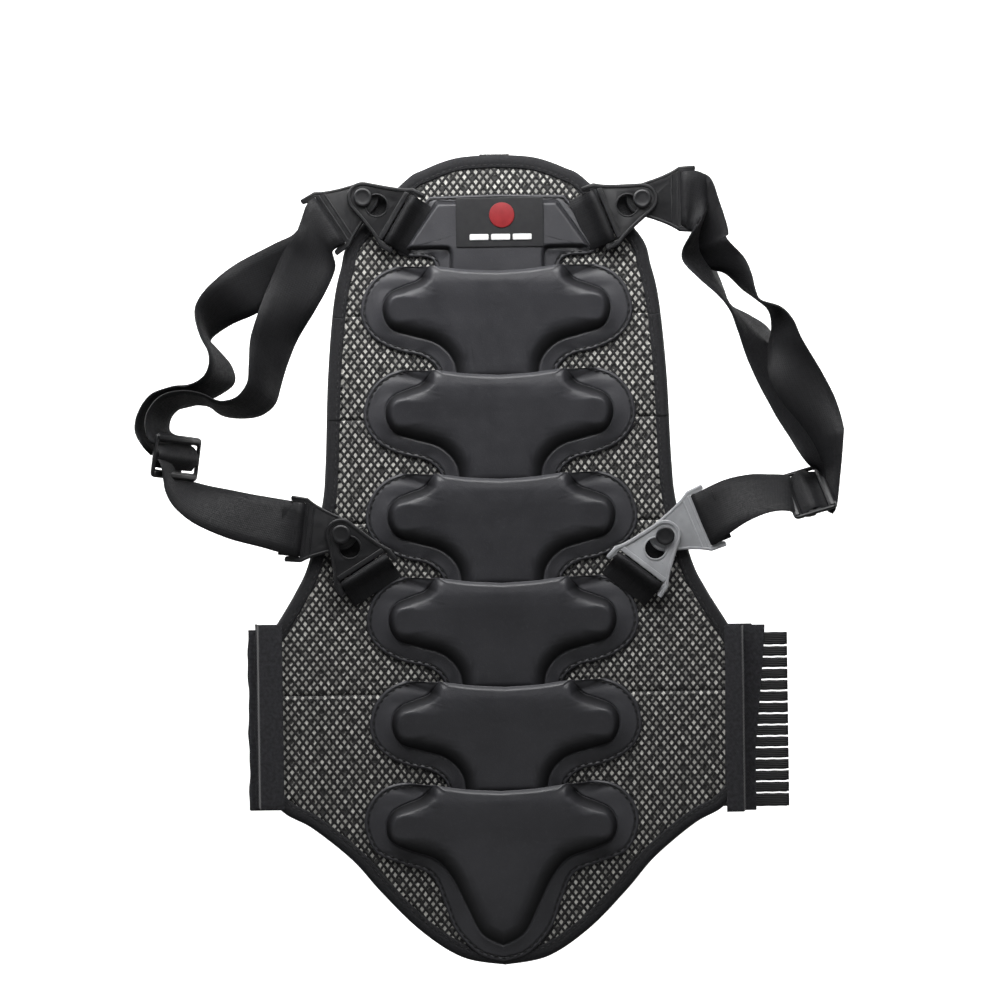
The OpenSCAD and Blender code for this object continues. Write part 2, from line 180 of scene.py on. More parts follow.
def add_mesh(name, points, faces, materials, sides, uv, sharp):
    """A mesh piece from points in millimetres. sides gives each face's material number, and uv
    gives each point's texture place in millimetres."""
    mesh = bpy.data.meshes.new(name)
    mesh.from_pydata([tuple(0.001 * float(v) for v in p) for p in points], [], faces)
    for material in materials if isinstance(materials, (list, tuple)) else [materials]:
        mesh.materials.append(material)
    mesh.polygons.foreach_set("material_index", sides)
    mesh.polygons.foreach_set("use_smooth", [True] * len(mesh.polygons))
    if uv is not None:
        layer = mesh.uv_layers.new(name="along")
        index = np.empty(len(mesh.loops), int)
        mesh.loops.foreach_get("vertex_index", index)
        layer.data.foreach_set("uv", (0.001 * np.array(uv, float))[index].ravel())
    mesh.update()
    if sharp is not None:
        mesh.set_sharp_from_angle(angle=math.radians(sharp))
    piece = bpy.data.objects.new(name, mesh)
    bpy.context.scene.collection.objects.link(piece)
    return piece


class Builder:
    """Collects the points and faces of one piece."""

    def __init__(self):
        self.points = []
        self.faces = []
        self.sides = []

    def add(self, points, faces, side=0):
        start = len(self.points)
        self.points += [tuple(map(float, p)) for p in points]
        self.faces += [tuple(start + i for i in face) for face in faces]
        self.sides += [side] * len(faces)

    def grid(self, rows, closed_columns=False, side=0):
        """Quads between rows of points of equal length."""
        count = len(rows[0])
        faces = []
        for r in range(len(rows) - 1):
            for c in range(count if closed_columns else count - 1):
                a, b = r * count, (r + 1) * count
                d = (c + 1) % count
                faces.append((a + c, a + d, b + d, b + c))
        self.add([p for row in rows for p in row], faces, side)

    def tube(self, rings, side=0):
        """A closed skin through rings of points, with flat ends."""
        start = len(self.points)
        count = len(rings[0])
        self.grid(rings, closed_columns=True, side=side)
        last = start + (len(rings) - 1) * count
        self.faces += [tuple(start + i for i in reversed(range(count)))]
        self.faces += [tuple(last + i for i in range(count))]
        self.sides += [side, side]

    def sheet(self, front, back, back_side=0):
        """A closed sheet, alone in its builder, between a front grid and a back one. The faces
        round its edges belong to the back's side."""
        width = len(front[0])
        last_row = (len(front) - 1) * width
        self.grid(front)
        shift = len(self.points)
        self.grid([row[::-1] for row in back], side=back_side)
        edges = []
        for r in range(len(front) - 1):
            a, b = r * width, shift + (r + 1) * width - 1
            edges.append((a, a + width, b + width, b))
            a, b = (r + 1) * width - 1, shift + r * width
            edges.append((a, b, b + width, a + width))
        for c in range(width - 1):
            a, b = c, shift + width - 1 - c
            edges.append((a, b, b - 1, a + 1))
            a, b = last_row + a, last_row + b
            edges.append((a, a + 1, b - 1, b))
        self.faces += edges
        self.sides += [back_side] * len(edges)

    def piece(self, name, materials, uv=None, sharp=None):
        return add_mesh(name, self.points, self.faces, materials, self.sides, uv, sharp)


def stitch(builder, place, along, outward, length, side):
    """One short thread, a rounded bead lying on a surface."""
    width, rise = 0.75, 0.45
    along = np.array(along, float) / np.linalg.norm(along)
    outward = np.array(outward, float) / np.linalg.norm(outward)
    across = np.cross(along, outward)
    rings = []
    for t, size in ((-0.5, 0.35), (-0.36, 0.85), (0, 1), (0.36, 0.85), (0.5, 0.35)):
        centre = np.array(place) + along * length * t - outward * rise * (1 - size)
        rings.append([
            centre + size * (width / 2 * math.cos(a) * across + rise * math.sin(a) * outward)
            for a in [math.tau * k / 6 for k in range(6)]
        ])
    builder.tube(rings, side)


def stitches(builder, path, depth, pitch, length, side):
    """A row of threads along a path of (x, z) points, on a surface at a depth."""
    count = max(2, int(np.linalg.norm(np.diff(path, axis=0), axis=1).sum() / pitch))
    line = resample(path, 2 * count + 1, closed=False)
    for i in range(1, len(line) - 1, 2):
        ahead = line[i + 1] - line[i - 1]
        place = (line[i][0], depth, line[i][1])
        stitch(builder, place, (ahead[0], 0, ahead[1]), (0, -1, 0), length, side)


# ---------------------------------------------------------------- materials


class Shader:
    """A Principled material built node by node. Texture places are in metres."""

    def __init__(self, name, colour, roughness, specular=0.5, coords="Object"):
        self.material = bpy.data.materials.new(name)
        self.material.use_nodes = True
        self.tree = self.material.node_tree
        self.bsdf = self.tree.nodes["Principled BSDF"]
        self.bsdf.inputs["Base Color"].default_value = (*colour, 1)
        self.bsdf.inputs["Roughness"].default_value = roughness
        self.bsdf.inputs["Specular IOR Level"].default_value = specular
        self.place = self.node("ShaderNodeTexCoord").outputs[coords]
        self.bump_end = None

    def node(self, kind, inputs=None, **settings):
        node = self.tree.nodes.new(kind)
        for key, value in settings.items():
            setattr(node, key, value)
        for key, value in (inputs or {}).items():
            if isinstance(value, bpy.types.NodeSocket):
                self.tree.links.new(value, node.inputs[key])
            else:
                node.inputs[key].default_value = value
        return node

    def math(self, operation, a, b=0.0, c=0.0):
        return self.node("ShaderNodeMath", {0: a, 1: b, 2: c}, operation=operation).outputs[0]

    def wave(self, value, rate):
        """A sine wave along a value."""
        return self.math("SINE", self.math("MULTIPLY", value, rate))

    def axes(self):
        split = self.node("ShaderNodeSeparateXYZ", {0: self.place})
        return split.outputs[0], split.outputs[1], split.outputs[2]

    def noise(self, size_mm, detail, stretch=None):
        place = self.place
        if stretch:
            place = self.node("ShaderNodeMapping", {"Vector": place, "Scale": stretch}).outputs[0]
        return self.node("ShaderNodeTexNoise", {
            "Vector": place, "Scale": 1000 / size_mm, "Detail": detail, "Roughness": 0.55,
        }).outputs[0]

    def cells(self, size_mm):
        return self.node("ShaderNodeTexVoronoi", {
            "Vector": self.place, "Scale": 1000 / size_mm, "Randomness": 1.0,
        }).outputs["Distance"]

    def ramp(self, value, low, high, out_low=0.0, out_high=1.0):
        return self.node("ShaderNodeMapRange", {
            "Value": value, "From Min": low, "From Max": high, "To Min": out_low,
            "To Max": out_high,
        }).outputs[0]

    def mix(self, amount, a, b):
        node = self.node("ShaderNodeMix", data_type="RGBA")
        for key, value in ((0, amount), (6, a), (7, b)):
            if isinstance(value, bpy.types.NodeSocket):
                self.tree.links.new(value, node.inputs[key])
            else:
                node.inputs[key].default_value = value if key == 0 else (*value, 1)
        return node.outputs[2]

    def wire(self, value, name):
        self.tree.links.new(value, self.bsdf.inputs[name])

    def bump(self, height, depth_mm, strength):
        inputs = {"Height": height, "Distance": 0.001 * depth_mm, "Strength": strength}
        if self.bump_end is not None:
            inputs["Normal"] = self.bump_end
        self.bump_end = self.node("ShaderNodeBump", inputs).outputs[0]
        self.wire(self.bump_end, "Normal")

    def sheen(self, weight, roughness=0.4):
        self.bsdf.inputs["Sheen Weight"].default_value = weight
        self.bsdf.inputs["Sheen Roughness"].default_value = roughness


def tinted(colour, factor, lift=0.0):
    """A colour made lighter or darker."""
    return tuple(min(1, factor * c + lift) for c in colour)


def leatherette():
    """Charcoal moulded leatherette: a fine pebble grain, soft mottling, a satin shine, and painted shade
    that darkens the plates' walls and seam grooves.
    """
    s = Shader("leatherette", (0.03, 0.03, 0.031), 0.45)
    mottle = s.noise(38, 4)
    fine = s.noise(2.2, 3)
    tone = s.mix(s.ramp(mottle, 0.3, 0.7), (0.026, 0.026, 0.030), (0.036, 0.036, 0.041))
    tone = s.mix(s.ramp(fine, 0.55, 0.8, 0, 0.35), tone, (0.055, 0.055, 0.062))
    # Painted shade: a point attribute darkens the pads' walls and the seam groove almost to black and
    # lowers their shine
    hollow = s.node("ShaderNodeAttribute", attribute_name="hollow").outputs["Fac"]
    tone = s.mix(s.math("MULTIPLY", hollow, 0.95), tone, (0.004, 0.004, 0.004))
    s.wire(tone, "Base Color")
    s.wire(s.math("MULTIPLY_ADD", hollow, -0.4, 0.5), "Specular IOR Level")
    s.wire(s.ramp(s.noise(9, 3), 0.3, 0.7, 0.40, 0.54), "Roughness")
    s.bump(s.ramp(s.cells(0.9), 0.0, 0.7), 0.06, 0.5)
    s.bump(s.noise(0.5, 2), 0.03, 0.4)
    s.bump(mottle, 0.5, 0.15)
    return s.material


def thread(name, colour):
    """Twisted sewing thread."""
    s = Shader(name, colour, 0.55)
    x, _, z = s.axes()
    turns = s.wave(s.math("ADD", x, z), 9000)
    s.bump(turns, 0.05, 0.6)
    s.wire(s.mix(s.ramp(turns, -1, 1), colour, tinted(colour, 1.7)), "Base Color")
    return s.material


def tape():
    """Woven binding tape with a fine cross rib."""
    colour = (0.0095, 0.0095, 0.011)
    s = Shader("binding_tape", colour, 0.75, 0.3)
    x, _, z = s.axes()
    rib_x = s.wave(x, 7600)
    rib_z = s.wave(z, 7600)
    weave = s.math("MULTIPLY", rib_x, rib_z)
    fluff = s.noise(1.4, 4)
    s.wire(s.mix(s.ramp(fluff, 0.35, 0.75), tinted(colour, 0.75),
                 tinted(colour, 1.9)), "Base Color")
    s.bump(weave, 0.12, 0.55)
    s.bump(fluff, 0.15, 0.35)
    s.sheen(0.12)
    return s.material


def webbing_cloth():
    """Shoulder webbing: lengthwise yarns crossed by a herringbone, with a dull nylon shine."""
    s = Shader("webbing_cloth", (0.008, 0.008, 0.009), 0.7, 0.25, coords="UV")
    u, v, _ = s.axes()
    yarn = s.math("PINGPONG", s.math("MULTIPLY", u, 620), 0.5)
    slant = s.math("PINGPONG", s.math("ADD", s.math("MULTIPLY", v, 560),
                                      s.math("MULTIPLY", yarn, 1.4)), 0.5)
    weave = s.math("ADD", slant, s.math("MULTIPLY", yarn, 0.7))
    fluff = s.noise(2.5, 5)
    long_streak = s.noise(6, 2, stretch=(4, 0.25, 1))
    tone = s.mix(s.ramp(weave, 0.1, 0.85), (0.003, 0.003, 0.0036), (0.009, 0.009, 0.0104))
    tone = s.mix(s.ramp(long_streak, 0.4, 0.8, 0, 0.4), tone, (0.0115, 0.0115, 0.0132))
    s.wire(tone, "Base Color")
    s.wire(s.ramp(fluff, 0.3, 0.7, 0.5, 0.72), "Roughness")
    s.bump(weave, 0.22, 0.7)
    s.bump(fluff, 0.1, 0.3)
    s.sheen(0.04)
    return s.material


def nylon(name, colour, roughness=0.38):
    """Moulded nylon: a fine spark-eroded texture, faint flow marks and rims lightened as a painted
    highlight.
    """
    s = Shader(name, colour, roughness)
    flow = s.noise(14, 3)
    grain = s.noise(0.45, 2)
    lighter = tinted(colour, 1.5, 0.003)
    tone = s.mix(s.ramp(flow, 0.35, 0.7, 0, 0.5), colour, lighter)
    # Painted highlight: sharp convex edges are made lighter
    edge = s.node("ShaderNodeNewGeometry").outputs["Pointiness"]
    tone = s.mix(s.ramp(edge, 0.53, 0.62, 0, 0.45), tone, tinted(colour, 2.4, 0.012))
    s.wire(tone, "Base Color")
    s.wire(s.ramp(s.noise(5, 4), 0.3, 0.7, roughness - 0.07, roughness + 0.12), "Roughness")
    s.bump(grain, 0.04, 0.5)
    s.bump(flow, 0.3, 0.15)
    return s.material


NET_PITCH_X = 5.25
NET_PITCH_Z = 6.9
HOLE_PITCH_X = 14.8
HOLE_PITCH_Z = 14.0


def spacer_face():
    """Silver-grey spacer cloth seen through the net, over a foam core with punched holes."""
    s = Shader("spacer_face", (0.5, 0.49, 0.45), 0.62, 0.4)
    x, _, z = s.axes()
    # Each diamond of the net gets a tone of its own
    across = s.math("DIVIDE", x, 0.001 * NET_PITCH_X)
    upward = s.math("DIVIDE", z, 0.001 * NET_PITCH_Z)
    diamond = s.node("ShaderNodeCombineXYZ", {
        0: s.math("FLOOR", s.math("ADD", across, upward)),
        1: s.math("FLOOR", s.math("SUBTRACT", across, upward)),
    }).outputs[0]
    tone = s.node("ShaderNodeTexWhiteNoise", {"Vector": diamond}).outputs["Value"]
    cloth = s.mix(s.ramp(tone, 0, 1), (0.25, 0.245, 0.23), (0.60, 0.59, 0.555))
    fluff = s.noise(1.1, 5)
    cloth = s.mix(s.ramp(fluff, 0.42, 0.62, 0.25, 0), cloth, (0.10, 0.10, 0.09))
    # Punched holes in two staggered grids
    holes = None
    for shift in (0.0, 0.5):
        cell_x = s.math("SUBTRACT", s.math("FRACT", s.math("ADD", s.math(
            "DIVIDE", x, 0.001 * HOLE_PITCH_X), 40 + shift)), 0.5)
        cell_z = s.math("SUBTRACT", s.math("FRACT", s.math("ADD", s.math(
            "DIVIDE", z, 0.001 * HOLE_PITCH_Z), 40 + shift)), 0.5)
        dx = s.math("MULTIPLY", cell_x, HOLE_PITCH_X)
        dz = s.math("MULTIPLY", cell_z, HOLE_PITCH_Z)
        gap = s.math("SQRT", s.math("ADD", s.math("MULTIPLY", dx, dx), s.math("MULTIPLY", dz, dz)))
        hole = s.ramp(gap, 1.5, 2.3, 1, 0)
        holes = hole if holes is None else s.math("MAXIMUM", holes, hole)
    s.wire(s.mix(s.math("MULTIPLY", holes, 0.92), cloth, (0.012, 0.012, 0.012)), "Base Color")
    s.bump(fluff, 0.4, 0.5)
    s.bump(holes, -1.2, 0.8)
    return s.material


def lining():
    """Wearer-side lining: dark knitted spacer with small staggered eyelets."""
    s = Shader("lining", (0.02, 0.02, 0.022), 0.85, 0.25)
    x, _, z = s.axes()
    wave_x = s.wave(x, math.tau / 0.0032)
    wave_z = s.wave(z, math.tau / 0.0044)
    eyelet = s.ramp(s.math("MULTIPLY", wave_x, wave_z), 0.35, 0.85)
    rows = s.wave(z, math.tau / 0.0011)
    fluff = s.noise(1.6, 5)
    tone = s.mix(s.ramp(fluff, 0.35, 0.7), (0.024, 0.024, 0.026), (0.05, 0.05, 0.054))
    s.wire(s.mix(eyelet, tone, (0.004, 0.004, 0.004)), "Base Color")
    s.bump(eyelet, -0.6, 0.8)
    s.bump(rows, 0.1, 0.4)
    s.sheen(0.2)
    return s.material


def net_yarn():
    """Slightly fluffy black yarn."""
    s = Shader("net_yarn", (0.008, 0.008, 0.009), 0.62, 0.35)
    fluff = s.noise(0.9, 4)
    s.wire(s.mix(s.ramp(fluff, 0.4, 0.75), (0.006, 0.006, 0.006), (0.03, 0.03, 0.031)),
           "Base Color")
    s.bump(fluff, 0.2, 0.6)
    return s.material


def belt_knit():
    """Brushed laminated knit of the belt."""
    s = Shader("belt_knit", (0.018, 0.018, 0.019), 0.9, 0.2)
    x, _, z = s.axes()
    knit = s.math("MULTIPLY", s.wave(x, math.tau / 0.0016),
                  s.wave(z, math.tau / 0.0021))
    fluff = s.noise(2.4, 6)
    s.wire(s.mix(s.ramp(fluff, 0.3, 0.75), (0.0105, 0.0105, 0.0122), (0.030, 0.030, 0.0345)),
           "Base Color")
    s.bump(knit, 0.15, 0.5)
    s.bump(fluff, 0.35, 0.4)
    s.sheen(0.25, 0.5)
    return s.material


def elastic_cloth():
    """Ribbed elastic: rubber threads run lengthwise under a fine cover yarn."""
    s = Shader("elastic_cloth", (0.012, 0.012, 0.013), 0.7, 0.3)
    x, _, z = s.axes()
    thread_line = s.wave(z, math.tau / 0.0013)
    cover = s.wave(x, math.tau / 0.0009)
    fluff = s.noise(1.8, 4)
    s.wire(s.mix(s.ramp(thread_line, -1, 1), (0.006, 0.006, 0.006), (0.024, 0.024, 0.026)),
           "Base Color")
    s.bump(thread_line, 0.3, 0.7)
    s.bump(s.math("MULTIPLY", cover, fluff), 0.1, 0.5)
    s.sheen(0.15)
    return s.material


def touch_tape(name, colour, size_mm):
    """Hook or loop tape: a dense field of tiny hooks or curls."""
    s = Shader(name, colour, 0.9, 0.2)
    curls = s.cells(size_mm)
    s.wire(s.mix(s.ramp(curls, 0, 0.7), tinted(colour, 2.2), tinted(colour, 0.3)),
           "Base Color")
    s.bump(curls, -0.8, 0.9)
    s.sheen(0.3)
    return s.material


def rubber(name, colour):
    """Moulded rubber with a fine grain."""
    s = Shader(name, colour, 0.5, 0.4)
    grain = s.noise(0.8, 3)
    s.wire(s.mix(s.ramp(s.noise(6, 3), 0.3, 0.7), colour, tinted(colour, 1.25, 0.004)),
           "Base Color")
    s.bump(grain, 0.05, 0.5)
    return s.material


LEATHERETTE = leatherette()
DARK_THREAD = thread("dark_thread", (0.004, 0.004, 0.004))
TAPE = tape()
WEBBING = webbing_cloth()
NYLON = nylon("nylon", (0.005, 0.005, 0.0059))
# A much lighter copy of the nylon for the lower right connector: a painted reflection of the light its
# tabs catch
NYLON_PAINTED_REFLECTION = nylon("nylon_painted_reflection", (0.25, 0.255, 0.265), 0.34)
SPACER = spacer_face()
LINING = lining()
NET_YARN = net_yarn()
BELT_KNIT = belt_knit()
ELASTIC = elastic_cloth()
HOOKS = touch_tape("hook_tape", (0.014, 0.014, 0.014), 1.1)
LOOPS = touch_tape("loop_tape", (0.02, 0.02, 0.021), 1.6)
RUBBER = rubber("patch_rubber", (0.0085, 0.0085, 0.0098))
RED_RUBBER = rubber("red_rubber", (0.20, 0.008, 0.011))
WHITE_RUBBER = rubber("white_rubber", (0.62, 0.62, 0.62))


# ---------------------------------------------------------------- panel

# The panel's right edge from the top middle: neck, shoulders, waist and belt root, then the
# tail from the belt's lower end to the tip
PANEL_UPPER = [
    (0, TOP_Z), (27, 182.6), (49, 175), (64, 166), (100.5, 128), (108.5, 106), (114, 80),
    (118.5, 30), (121, -30), (124, -60), (134, -100), (144, -121), (158, -144), (166, -158),
]
PANEL_TAIL = [
    (164.5, -262), (152, -274.5), (133, -285), (105.6, -307.5), (85.9, -330), (59, -357),
    (30, -376), (0, TIP_Z),
]
EDGE_STEPS = 10
PANEL_EDGE = np.vstack([smooth(PANEL_UPPER, EDGE_STEPS), smooth(PANEL_TAIL, EDGE_STEPS)])
BINDING_W = 9.4
CORE_INSET = 1.6


def half_width(z):
    """Half the panel's width at a height."""
    return float(np.interp(-z, -PANEL_EDGE[:, 1], PANEL_EDGE[:, 0]))


def panel_parts():
    """The five parts that each hold one flex line: (number, bodies, flex height, top, bottom).
    They meet in the middle of the sections between the flex lines."""
    cuts = [TOP_Z] + [(a + b) / 2 for a, b in zip(FLEX_Z, FLEX_Z[1:])] + [TIP_Z]
    for i in range(len(FLEX_JOINTS)):
        yield i, (SECTIONS[i], SECTIONS[i + 1]), FLEX_Z[i], cuts[i], cuts[i + 1]


def bend_at(piece):
    """Bakes a piece's placement into its points."""
    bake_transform(piece)


def heights_between(top, bottom, step, wanted):
    """Heights from top to bottom, about step apart, with the wanted ones included."""
    stops = sorted([top, bottom] + [z for z in wanted if bottom < z < top], reverse=True)
    out = [top]
    for a, b in zip(stops, stops[1:]):
        count = max(1, round((a - b) / step))
        out += [a + (b - a) * k / count for k in range(1, count + 1)]
    return out


def core_part(index, bodies, flex, top, bottom):
    """Spacer cloth, foam and lining as one padded sheet, front and back of one closed skin."""
    builder = Builder()
    columns = 41
    edge_taper = 9.0
    channel_depth = 1.3
    channel_width = 5.0
    # The sheet stops short inside the binding at the neck and at the tip
    top, bottom = min(top, TOP_Z - 3), max(bottom, TIP_Z + 3)
    rows_front, rows_back = [], []
    for z in heights_between(top, bottom, 3.0, [flex]):
        width = max(0.4, half_width(min(max(z, TIP_Z + 1.7), TOP_Z - 1.7)) - CORE_INSET)
        sewn = math.exp(-(((z - flex) / channel_width) ** 2))
        front, back = [], []
        for k in range(columns):
            u = math.sin(math.pi * (k / (columns - 1) - 0.5))
            x = u * width
            rim = min(1.0, (width - abs(x)) / edge_taper)
            soft = math.sin(math.pi / 2 * rim)
            front.append((x, MESH_Y + 1.6 - 1.1 * soft, z))
            back.append((x, -1.3 + 1.2 * soft - channel_depth * sewn * soft, z))
        rows_front.append(front)
        rows_back.append(back)
    builder.sheet(rows_front, rows_back, back_side=1)
    piece = builder.piece(f"padded_core_{index + 1}", [SPACER, LINING])
    bend_at(piece)
    return piece


def net_part(index, bodies, flex, top, bottom):
    """The black net: two families of slanting yarns laid over the spacer cloth."""
    builder = Builder()
    yarn_w = 2.3
    yarn_h = 0.75
    edge = BINDING_W - 1.5
    slope = NET_PITCH_X / NET_PITCH_Z
    step = NET_PITCH_Z / 2
    reach = int((half_width(-200) + slope * (TOP_Z - TIP_Z)) / NET_PITCH_X) + 2
    levels = heights_between(top, bottom, step, [flex])
    for lean in (-1, 1):
        for k in range(-reach, reach + 1):
            run = []
            for z in levels + [None]:
                inside = False
                if z is not None:
                    x = k * NET_PITCH_X + lean * slope * z
                    inside = abs(x) < half_width(min(max(z, TIP_Z + 1), TOP_Z - 1)) - edge
                if inside:
                    run.append((x, z))
                    continue
                if len(run) > 1:
                    builder.tube(yarn_rings(run, lean, yarn_w, yarn_h))
                run = []
    piece = builder.piece(f"net_{index + 1}", NET_YARN)
    bend_at(piece)
    return piece


def yarn_rings(run, lean, width, height):
    """Four-cornered rings of one net yarn that waves over and under at each crossing."""
    rings = []
    for x, z in run:
        lift = 0.12 * math.cos(math.pi * 2 * z / NET_PITCH_Z) * lean
        half = width / 2 * 1.25
        rings.append([
            (x - half, MESH_Y + height, z),
            (x - 0.42 * half, MESH_Y - lift, z),
            (x + 0.42 * half, MESH_Y - lift, z),
            (x + half, MESH_Y + height, z),
        ])
    return rings


def binding_part(index, bodies, flex, top, bottom):
    """Tape folded over the panel's edge, with a row of stitches near its inner edge."""
    builder = Builder()
    front = BINDING_Y
    section = [
        (BINDING_W + 0.2, front + 1.7), (BINDING_W - 0.1, front + 0.55), (BINDING_W - 1.2, front + 0.3),
        (BINDING_W - 2.2, front + 0.42), (BINDING_W - 3.4, front + 0.1), (5, front), (2.6, front + 0.15),
        (0.9, front + 1.0), (0.15, front + 2.6), (0, front / 2), (0.2, -1.9), (1.1, -0.6),
        (3, -0.15), (6.5, -0.1), (BINDING_W - 0.6, -0.25), (BINDING_W, -1.0), (BINDING_W, -1.7),
        (2.4, -1.9), (2.2, front / 2), (2.4, front + 1.9),
    ]
    whole_edge = np.vstack([PANEL_EDGE[::-1] * [-1, 1], PANEL_EDGE[1:]])
    dense = resample(whole_edge, 900, closed=False)
    normals = inward_normals(dense, closed=False)
    for path, sideways in split_runs(dense, normals, top, bottom):
        rings = []
        for (x, z), (nx, nz) in zip(path, sideways):
            rings.append([(x + nx * d, y, z + nz * d) for d, y in section])
        builder.tube(rings)
        seam = path + (BINDING_W - 2.2) * sideways
        stitches(builder, seam, front + 0.42, 4.2, 2.9, side=1)
    piece = builder.piece(f"binding_{index + 1}", [TAPE, DARK_THREAD])
    bend_at(piece)
    return piece


def split_runs(path, normals, top, bottom):
    """Stretches of a path whose heights lie between top and bottom, cut exactly at both."""
    runs = []
    current = []
    for i in range(len(path)):
        here = path[i]
        if bottom <= here[1] <= top:
            if not current and i > 0:
                current.append(crossing(path, normals, i - 1, i, top, bottom))
            current.append((here, normals[i]))
        elif current:
            current.append(crossing(path, normals, i, i - 1, top, bottom))
            runs.append(current)
            current = []
    if current:
        runs.append(current)
    return [(np.array([p for p, n in run]), np.array([n for p, n in run])) for run in runs]


def crossing(path, normals, outside, inside, top, bottom):
    """The place and normal where a path leaves the heights between top and bottom."""
    limit = top if path[outside][1] > top else bottom
    span = path[outside][1] - path[inside][1]
    t = (limit - path[inside][1]) / span if abs(span) > 1e-9 else 0
    return (path[inside] + t * (path[outside] - path[inside]),
            normals[inside] + t * (normals[outside] - normals[inside]))


for part in panel_parts():
    part_index, part_bodies = part[:2]
    core = core_part(*part)
    net = net_part(*part)
    edge_tape = binding_part(*part)
    names = part_bodies if part_index == 0 else part_bodies[1:]
    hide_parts(*[f"foam_{name}" for name in names])
    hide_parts(*[f"mesh_{name}" for name in names])
    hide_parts(*[f"binding_{name}" for name in names])


# ---------------------------------------------------------------- plates

LIP_DROP = 6
PLATE_TOPS = [FLEX_Z[0] - LIP_DROP - PITCH * k for k in range(5)]
# Each plate was sewn on a little off the middle
PLATE_ASIDE = [0.2, 1.2, 1.6, 1.4, 2.6]
PLATE_BODIES = ["shoulder", "thoracic", "lower_back", "lumbar", "lumbar"]
TAIL_ASIDE = -1.2
YOKE_ASIDE = 1.2
TAIL_TOP = FLEX_Z[0] - LIP_DROP - PITCH * 5
SPINE_PAD = [
    (0, 0), (22, 1.2), (34, 2.7), (45.5, 4.2), (49.5, 0), (54.4, -5.4), (64, -9), (74, -13.5),
    (79, -21), (78.7, -31), (73, -39.5), (60, -44), (45, -48.3), (36, -54.5), (30.8, -62),
    (29, -70), (28.8, -80), (0, -80),
]
SPINE_FLANGE = [
    (0, 1), (44, 4.7), (58, 6.2), (68, 5), (78, 1.6), (86, -4.5), (92, -13.5), (95, -26),
    (93, -36), (87, -44.5), (77.5, -51), (66, -55.3), (54, -58), (47, -62), (42.5, -67),
    (40.5, -74), (39.5, -80.5), (0, -80.5),
]
TAIL_PAD = [
    (0, 0), (22, 1.2), (34, 2.7), (46, 4.4), (51, 0), (57, -5), (67, -9), (76, -14), (80.5, -23),
    (78, -34), (66, -41), (46.5, -48), (35, -61), (26, -79), (15, -100), (0, -108.5),
]
TAIL_FLANGE = [
    (0, 1), (48, 5.5), (72, 5.5), (86, -1), (94.5, -14), (95, -28), (87, -43.5), (68, -51.5),
    (50, -59), (41, -78), (33, -98), (17, -114.5), (0, -119.7),
]
YOKE_PAD = [
    (0, 151.5), (42, 151.5), (64, 120), (63, 118.5), (37, 118.5), (34, 116.5), (33, 113.5), (33, 98),
    (0, 98),
]
YOKE_FLANGE = [
    (0, 156.5), (47, 155.5), (58, 142), (68.5, 124), (69, 117), (63, 113.8), (50, 113), (44, 109),
    (43, 97.5), (0, 97.5),
]
# Height of a spine plate above the net, from its lip down to the tongue under the next lip
SPINE_RISE = [(4, 12.5), (0, 13), (-7, 14), (-15, 13.2), (-30, 10.6), (-48, 8), (-64, 6.2),
              (-72, 5.6), (-80, 5)]
TAIL_RISE = [(4, 12.5), (0, 13), (-7, 14), (-15, 13.4), (-35, 11), (-60, 9.5), (-85, 7.5),
             (-108.5, 5.5)]
YOKE_RISE = [(153, 6), (140, 6), (120, 6), (110, 5.6), (98, 5)]
FLANGE_RISE = 2.0
SKIN = 2.0
# A plate rests just clear of the net
REST_Y = MESH_Y - 0.02
LIP_HALF = 44.0
LIP_FADE = 8.0
RIM_POINTS = 300
# Rings of points round a plate: inwards from the flange's edge, outwards from the pad's foot,
# inwards from the foot over the wall, and then as shares of the way left to the middle
FLANGE_STEPS = [0.0, 0.3, 0.8, 1.5, 2.3, 2.8, 3.3, 3.9, 4.8]
FOOT_STEPS = [0.35, 0.8, 1.4, 2.2]
WALL_STEPS = [0.0, 0.35, 0.8, 1.4, 2.1, 3.0, 4.1, 5.5, 7.2, 9.2, 11.5]
CROWN_SHARES = [0.86, 0.72, 0.57, 0.41, 0.25, 0.1]
FLANGE_RINGS = len(FLANGE_STEPS) + len(FOOT_STEPS)
# The walls grow from the side width to the low one between these distances below the lip
LOW_START, LOW_END = 26, 36
# Beyond these distances from the spine the walls narrow towards the tips of the arms
TIP_START, TIP_END = 62, 74
TIP_WALL, LIP_WALL = 4.8, 2.4
LIP_DEPTH = 1.6
CROWN_WIDTH = 52


def curved_half(half, corners, steps=9):
    """A smooth half outline that keeps sharp corners at the given point numbers."""
    stops = [0] + list(corners) + [len(half) - 1]
    stretches = []
    for a, b in zip(stops, stops[1:]):
        stretch = smooth(half[a:b + 1], steps)
        stretches.append(stretch if not stretches else stretch[1:])
    return np.vstack(stretches)


def radial_outlines(centre, inner, outer, count):
    """Points of the inner outline and the outer one's points on the same rays."""
    rim = resample(both_sides(inner), count)
    beyond = both_sides(outer)
    around = []
    for place in rim:
        direction = (place - centre) / np.linalg.norm(place - centre)
        hit = ray_hit(centre, direction, beyond)
        if (hit - place) @ direction < 0.15:
            hit = place + 0.15 * direction
        around.append(hit)
    return rim, np.array(around)


